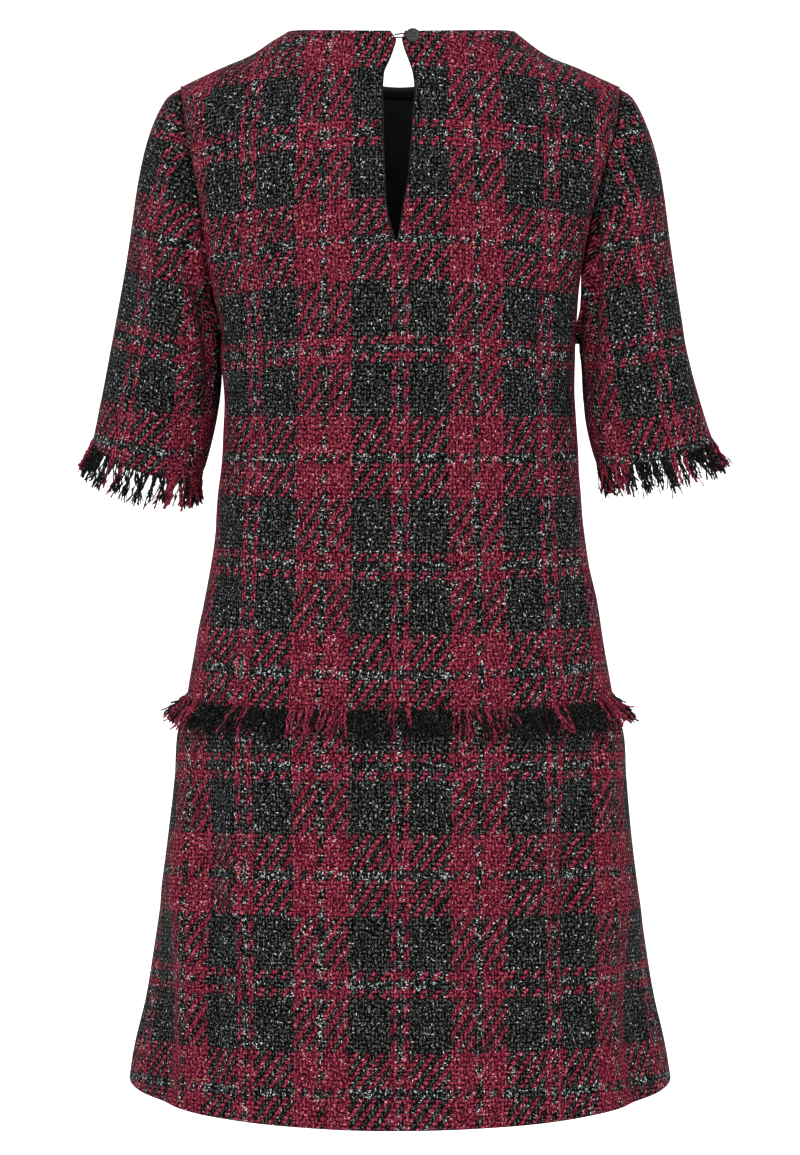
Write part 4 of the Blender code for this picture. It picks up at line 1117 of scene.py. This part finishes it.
fringe = {
    "yarnPitch": check["pitch"]["warp"] / 1000,
    "redEnds": 1.25, "blackEnds": 4.6,          # loose ends for each yarn
    "blackAndShadeEnds": 1.6,                             # thin black ends beside each burgundy yarn: partly the cloth's black filaments, partly painted shade between the burgundy ends
    "redThickness": (0.00080, 0.00120), "blackThickness": (0.00040, 0.00070),
    "waistReach": (0.016, 0.026), "cuffReach": (0.017, 0.028),
    "waistClump": (0.004, 0.009), "cuffClump": (0.0045, 0.0085),    # widths that cling together
    "waistCling": 0.35, "cuffCling": 0.80,      # share of the way that they come together
    "sideLean": 0.0075,                         # how far the ends lean out at the sides
    "rings": 9, "sides": 5,
    "wander": 0.0050, "curl": 0.0016, "curlLength": 0.0045, "knobs": 0.7,
    "clumpLean": 0.16, "ownLean": 0.05, "clumpLength": 0.70, "ownLength": 0.30,
    "drift": 0.55, "sunk": 0.0025,              # spread of the wander, and length inside the cloth
    "waistHalf": 0.181, "waistLength": 0.022,   # the half width and the length that sideLean is for
    "offSkirt": 0.0030,
}


def threadTree():
    # threads stand on the points, then wander, curl and thicken unevenly along their length
    tree = bpy.data.node_groups.new("frayed threads", "GeometryNodeTree")
    tree.interface.new_socket("Geometry", in_out="INPUT", socket_type="NodeSocketGeometry")
    for name, value in (("Wander", fringe["wander"]), ("Curl", fringe["curl"]),
                        ("Curl Length", fringe["curlLength"]), ("Knobs", fringe["knobs"])):
        tree.interface.new_socket(name, in_out="INPUT", socket_type="NodeSocketFloat").default_value = value
    tree.interface.new_socket("Yarn", in_out="INPUT", socket_type="NodeSocketMaterial")
    tree.interface.new_socket("Geometry", in_out="OUTPUT", socket_type="NodeSocketGeometry")
    math_ = "ShaderNodeVectorMath"
    way = add(tree, "NodeGroupInput").outputs
    place = add(tree, "GeometryNodeInputPosition").outputs[0]
    rooted = add(tree, "GeometryNodeStoreNamedAttribute",
                 {"Geometry": way["Geometry"], "Name": "root", "Value": place},
                 data_type="FLOAT_VECTOR", domain="POINT").outputs[0]
    thread = add(tree, "GeometryNodeMeshCylinder", {"Vertices": fringe["sides"], "Side Segments": fringe["rings"],
                                                    "Radius": 1.0, "Depth": 1.0}, fill_type="NGON").outputs[0]
    thread = add(tree, "GeometryNodeTransform", {"Geometry": thread, "Translation": (0, 0, 0.5)}).outputs[0]
    height = add(tree, "ShaderNodeSeparateXYZ", {0: place}).outputs["Z"]
    thread = add(tree, "GeometryNodeStoreNamedAttribute", {"Geometry": thread, "Name": "along", "Value": height},
                 data_type="FLOAT", domain="POINT").outputs[0]
    run, drift, root, reach, thick, along = [
        add(tree, "GeometryNodeInputNamedAttribute", {"Name": key}, data_type=kind).outputs[0]
        for kind, keys in (("FLOAT_VECTOR", ("run", "drift", "root")), ("FLOAT", ("reach", "thick", "along")))
        for key in keys]
    turn = add(tree, "FunctionNodeAlignRotationToVector", {"Vector": run}, axis="Z").outputs[0]
    size = add(tree, "ShaderNodeCombineXYZ", {"X": thick, "Y": thick, "Z": reach}).outputs[0]
    placed = add(tree, "GeometryNodeInstanceOnPoints", {"Points": rooted, "Instance": thread, "Rotation": turn,
                                                        "Scale": size}).outputs[0]
    loose = add(tree, "GeometryNodeRealizeInstances", {"Geometry": placed}).outputs[0]

    passed = add(tree, "ShaderNodeMath", {0: along, 1: reach}, operation="MULTIPLY").outputs[0]
    centre = add(tree, math_, {0: run, "Scale": passed}, operation="SCALE").outputs[0]
    centre = add(tree, math_, {0: centre, 1: root}, operation="ADD").outputs[0]
    spoke = add(tree, math_, {0: place, 1: centre}, operation="SUBTRACT").outputs[0]
    apart = add(tree, math_, {0: drift, "Scale": 0.02}, operation="SCALE").outputs[0]
    sampled = add(tree, math_, {0: centre, 1: apart}, operation="ADD").outputs[0]
    stretch = add(tree, "ShaderNodeMath", {0: 1.0, 1: way["Curl Length"]}, operation="DIVIDE").outputs[0]
    curl = add(tree, "ShaderNodeTexNoise", {"Vector": sampled, "Scale": stretch, "Detail": 1.0}).outputs["Color"]
    curl = add(tree, math_, {0: curl, 1: (0.5, 0.5, 0.5)}, operation="SUBTRACT").outputs[0]
    knob = add(tree, "ShaderNodeTexNoise", {"Vector": sampled, "Scale": 520.0, "Detail": 1.0}).outputs["Fac"]
    knob = add(tree, "ShaderNodeMath", {0: knob, 1: 0.5}, operation="SUBTRACT").outputs[0]
    knob = add(tree, "ShaderNodeMath", {0: knob, 1: way["Knobs"]}, operation="MULTIPLY").outputs[0]
    knob = add(tree, "ShaderNodeMath", {0: knob, 1: 4.0}, operation="MULTIPLY").outputs[0]
    started = add(tree, "ShaderNodeMath", {0: along, 1: 5.0}, operation="MULTIPLY", use_clamp=True).outputs[0]
    curlBy = add(tree, "ShaderNodeMath", {0: started, 1: way["Curl"]}, operation="MULTIPLY").outputs[0]
    curlBy = add(tree, "ShaderNodeMath", {0: curlBy, 1: 4.0}, operation="MULTIPLY").outputs[0]
    bent = add(tree, "ShaderNodeMath", {0: along, 1: along}, operation="MULTIPLY").outputs[0]
    bentBy = add(tree, "ShaderNodeMath", {0: bent, 1: way["Wander"]}, operation="MULTIPLY").outputs[0]
    moves = [
        add(tree, math_, {0: curl, "Scale": curlBy}, operation="SCALE").outputs[0],
        add(tree, math_, {0: drift, "Scale": bentBy}, operation="SCALE").outputs[0],
        add(tree, math_, {0: spoke, "Scale": knob}, operation="SCALE").outputs[0],
    ]
    move = add(tree, math_, {0: moves[0], 1: moves[1]}, operation="ADD").outputs[0]
    move = add(tree, math_, {0: move, 1: moves[2]}, operation="ADD").outputs[0]
    result = add(tree, "GeometryNodeSetPosition", {"Geometry": loose, "Offset": move}).outputs[0]
    result = add(tree, "GeometryNodeSetShadeSmooth", {"Geometry": result}).outputs[0]
    result = add(tree, "GeometryNodeSetMaterial", {"Geometry": result, "Material": way["Yarn"]}).outputs[0]
    add(tree, "NodeGroupOutput", {"Geometry": result})
    return tree


threads = threadTree()


def frayed(name, edge, along, run, spread, kind, seed):
    # edge, run and spread are rows of points and directions, along their places on the check
    source = np.random.default_rng(seed)
    first = math.floor(along.min() / fringe["yarnPitch"])
    last = math.ceil(along.max() / fringe["yarnPitch"])
    places = []
    reds = []
    for number in range(first, last):
        middle = (number + 0.5) * fringe["yarnPitch"]
        red = isRed(middle)
        ends = fringe["redEnds"] if red else fringe["blackEnds"]
        count = int(ends + source.uniform())
        places += list(middle + source.uniform(-0.5, 0.5, count) * fringe["yarnPitch"])
        reds += [red] * count
        # thin black ends among the burgundy ones, partly the cloth's own black filaments and partly painted shade
        # in the gaps between them
        if red:
            blackAndShadeEnds = int(fringe["blackAndShadeEnds"] + source.uniform())
            places += list(middle + source.uniform(-0.5, 0.5, blackAndShadeEnds) * fringe["yarnPitch"])
            reds += [0.0] * blackAndShadeEnds
    places = np.array(places)
    reds = np.array(reds)
    kept = (places > along.min()) & (places < along.max())
    places, reds = places[kept], reds[kept]
    order = np.argsort(along)
    tangent = np.gradient(edge[order], along[order], axis=0)[np.argsort(order)]
    at = [np.stack([np.interp(places, along[order], rows[order, axis]) for axis in range(3)], axis=1)
          for rows in (edge, run, spread, tangent)]
    count = len(places)
    drift = source.normal(size=(count, 3)) * fringe["drift"]
    # neighbouring ends cling together and lean as one clump
    bounds = along.min() - 0.004 + np.cumsum(source.uniform(*fringe[kind + "Clump"], 400))
    clump = np.searchsorted(bounds, places)
    middles = (bounds[clump] + bounds[np.maximum(clump - 1, 0)]) / 2
    lean = (source.normal(size=400)[clump] * fringe["clumpLean"]
            + source.normal(size=count) * fringe["ownLean"])
    share = (fringe["clumpLength"] * source.beta(2.4, 1.8, 400)[clump]
             + fringe["ownLength"] * source.beta(3.0, 1.2, count))
    low, high = fringe[kind + "Reach"]
    lengths = low + (high - low) * share
    pull = (middles - places) * fringe[kind + "Cling"] / lengths + lean
    outward = at[0] * np.array((1, 0, 0)) * np.abs(at[0][:, :1]) / fringe["waistHalf"] ** 2
    sideways = fringe["sideLean"] / fringe["waistLength"] * outward if kind == "waist" else 0
    heading = unit(at[1] + at[2] * source.uniform(0.02, 0.20, (count, 1)) + at[3] * pull[:, None] + sideways)
    thick = np.where(reds > 0.5, source.uniform(*fringe["redThickness"], count),
                     source.uniform(*fringe["blackThickness"], count))
    start = at[0] - at[1] * fringe["sunk"] - at[2] * source.uniform(0.0002, 0.0018, (count, 1))
    mesh = bpy.data.meshes.new(name)
    mesh.from_pydata(start.tolist(), [], [])
    for key, values in (("run", heading), ("drift", drift), ("reach", lengths + fringe["sunk"]),
                        ("thick", thick), ("red", reds)):
        form, field = ("FLOAT_VECTOR", "vector") if values.ndim == 2 else ("FLOAT", "value")
        layer = mesh.attributes.new(key, form, "POINT")
        layer.data.foreach_set(field, values.astype(np.float32).ravel())
    piece = linked(name, mesh, looseYarn)
    growing = piece.modifiers.new("threads", "NODES")
    growing.node_group = threads
    for socket in threads.interface.items_tree:
        if socket.in_out == "INPUT" and socket.name == "Yarn":
            growing[socket.identifier] = looseYarn
    piece = applied(piece)
    print("%s: %d threads, %d faces" % (name, count, len(piece.data.polygons)))
    return piece


def waistFringe(side, seed):
    panel = "bodice" + side
    edge = grids[panel][-1]
    below = grids["skirt" + side]
    footRow = int(np.argmin(np.abs(below[:, below.shape[1] // 2, 2] - levels["fringeFoot"])))
    spread = normalsOf(grids[panel])[-1]
    skirtSpread = normalsOf(below)[footRow]
    run = unit(below[footRow] + skirtSpread * fringe["offSkirt"] - edge)
    along = cuts[panel][-1, :, 0]
    piece = frayed("waistFringe" + side, edge, along, run, spread, "waist", seed)
    onRoot(piece, ("waist_fringe_" + side.lower(),))
    return piece


def cuffFringe(side, seed):
    panel = "sleeve" + side
    grid = grids[panel]
    spread = normalsOf(grid[:, :-1], True)[-1]
    spread = np.concatenate((spread, spread[:1]))
    run = unit(grid[-1] - grid[-3])
    along = cuts[panel][-1, :, 0]
    piece = frayed("cuffFringe" + side, grid[-1], along, run, spread, "cuff", seed)
    onRoot(piece, ("cuff_fringe_" + side.lower(),))
    return piece


fringes = {
    "bodiceBack": waistFringe("Back", 21), "bodiceFront": waistFringe("Front", 22),
    "sleeveLeft": cuffFringe("Left", 23), "sleeveRight": cuffFringe("Right", 24),
}

# Studio: a round pale room with soft lamps, so that each side has a plain ground

studio = {
    "floor": -1.40, "radius": 8.0, "bend": 1.6, "height": 7.0,
    "key": ((-0.9, -3.2, 1.9), 1.6, 86), "fill": ((2.4, -2.6, 0.4), 2.2, 16),
    "above": ((0.0, -0.4, 2.6), 2.4, 36), "behind": ((0.0, 3.4, 1.4), 3.0, 40),
    "world": 0.9, "glow": 0.25,     # the paper is lit a little from behind, so it reads even
    "turnSteps": 64, "merge": 0.0001, "aim": (0, 0, -0.42),
}


def makeRoom():
    # Matt paper: pale and even, with no sheen.
    material, tree, shader = newMaterial("matt paper", Roughness=0.95, Specular_IOR_Level=0.1,
                                         Emission_Color=(1, 1, 1, 1), Emission_Strength=studio["glow"])
    grain = add(tree, "ShaderNodeTexNoise", {"Vector": add(tree, "ShaderNodeTexCoord").outputs["Object"],
                                             "Scale": 3.0}).outputs["Fac"]
    tone = add(tree, "ShaderNodeMix", {0: grain, 6: linear("#f6f6f6"), 7: linear("#fafafa")},
               data_type="RGBA").outputs[2]
    tree.links.new(tone, shader.inputs["Base Color"])
    bend = studio["bend"]
    profile = [(0.0, studio["floor"])]
    profile += arc((studio["radius"] - bend, studio["floor"] + bend), bend, 270, 360, 16)
    profile += [(studio["radius"], studio["height"])]
    mesh = turned("room", profile, studio["turnSteps"], studio["merge"], inward=True)
    mesh.shade_smooth()
    linked("room", mesh, material)


def makeLamp(name):
    place, size, power = studio[name]
    lamp = bpy.data.lights.new(name, "AREA")
    lamp.shape = "DISK"
    lamp.size = size
    lamp.energy = power
    item = inScene(name, lamp)
    item.location = place
    item.rotation_euler = (Vector(studio["aim"]) - Vector(place)).to_track_quat("-Z", "Y").to_euler()


makeRoom()
for name in ("key", "fill", "above", "behind"):
    makeLamp(name)
world = bpy.data.worlds.new("studio")
bpy.context.scene.world = world
world.use_nodes = True
world.node_tree.nodes["Background"].inputs["Color"].default_value = (1, 1, 1, 1)
world.node_tree.nodes["Background"].inputs["Strength"].default_value = studio["world"]
bpy.context.scene.view_settings.view_transform = "Standard"
print("studio made")
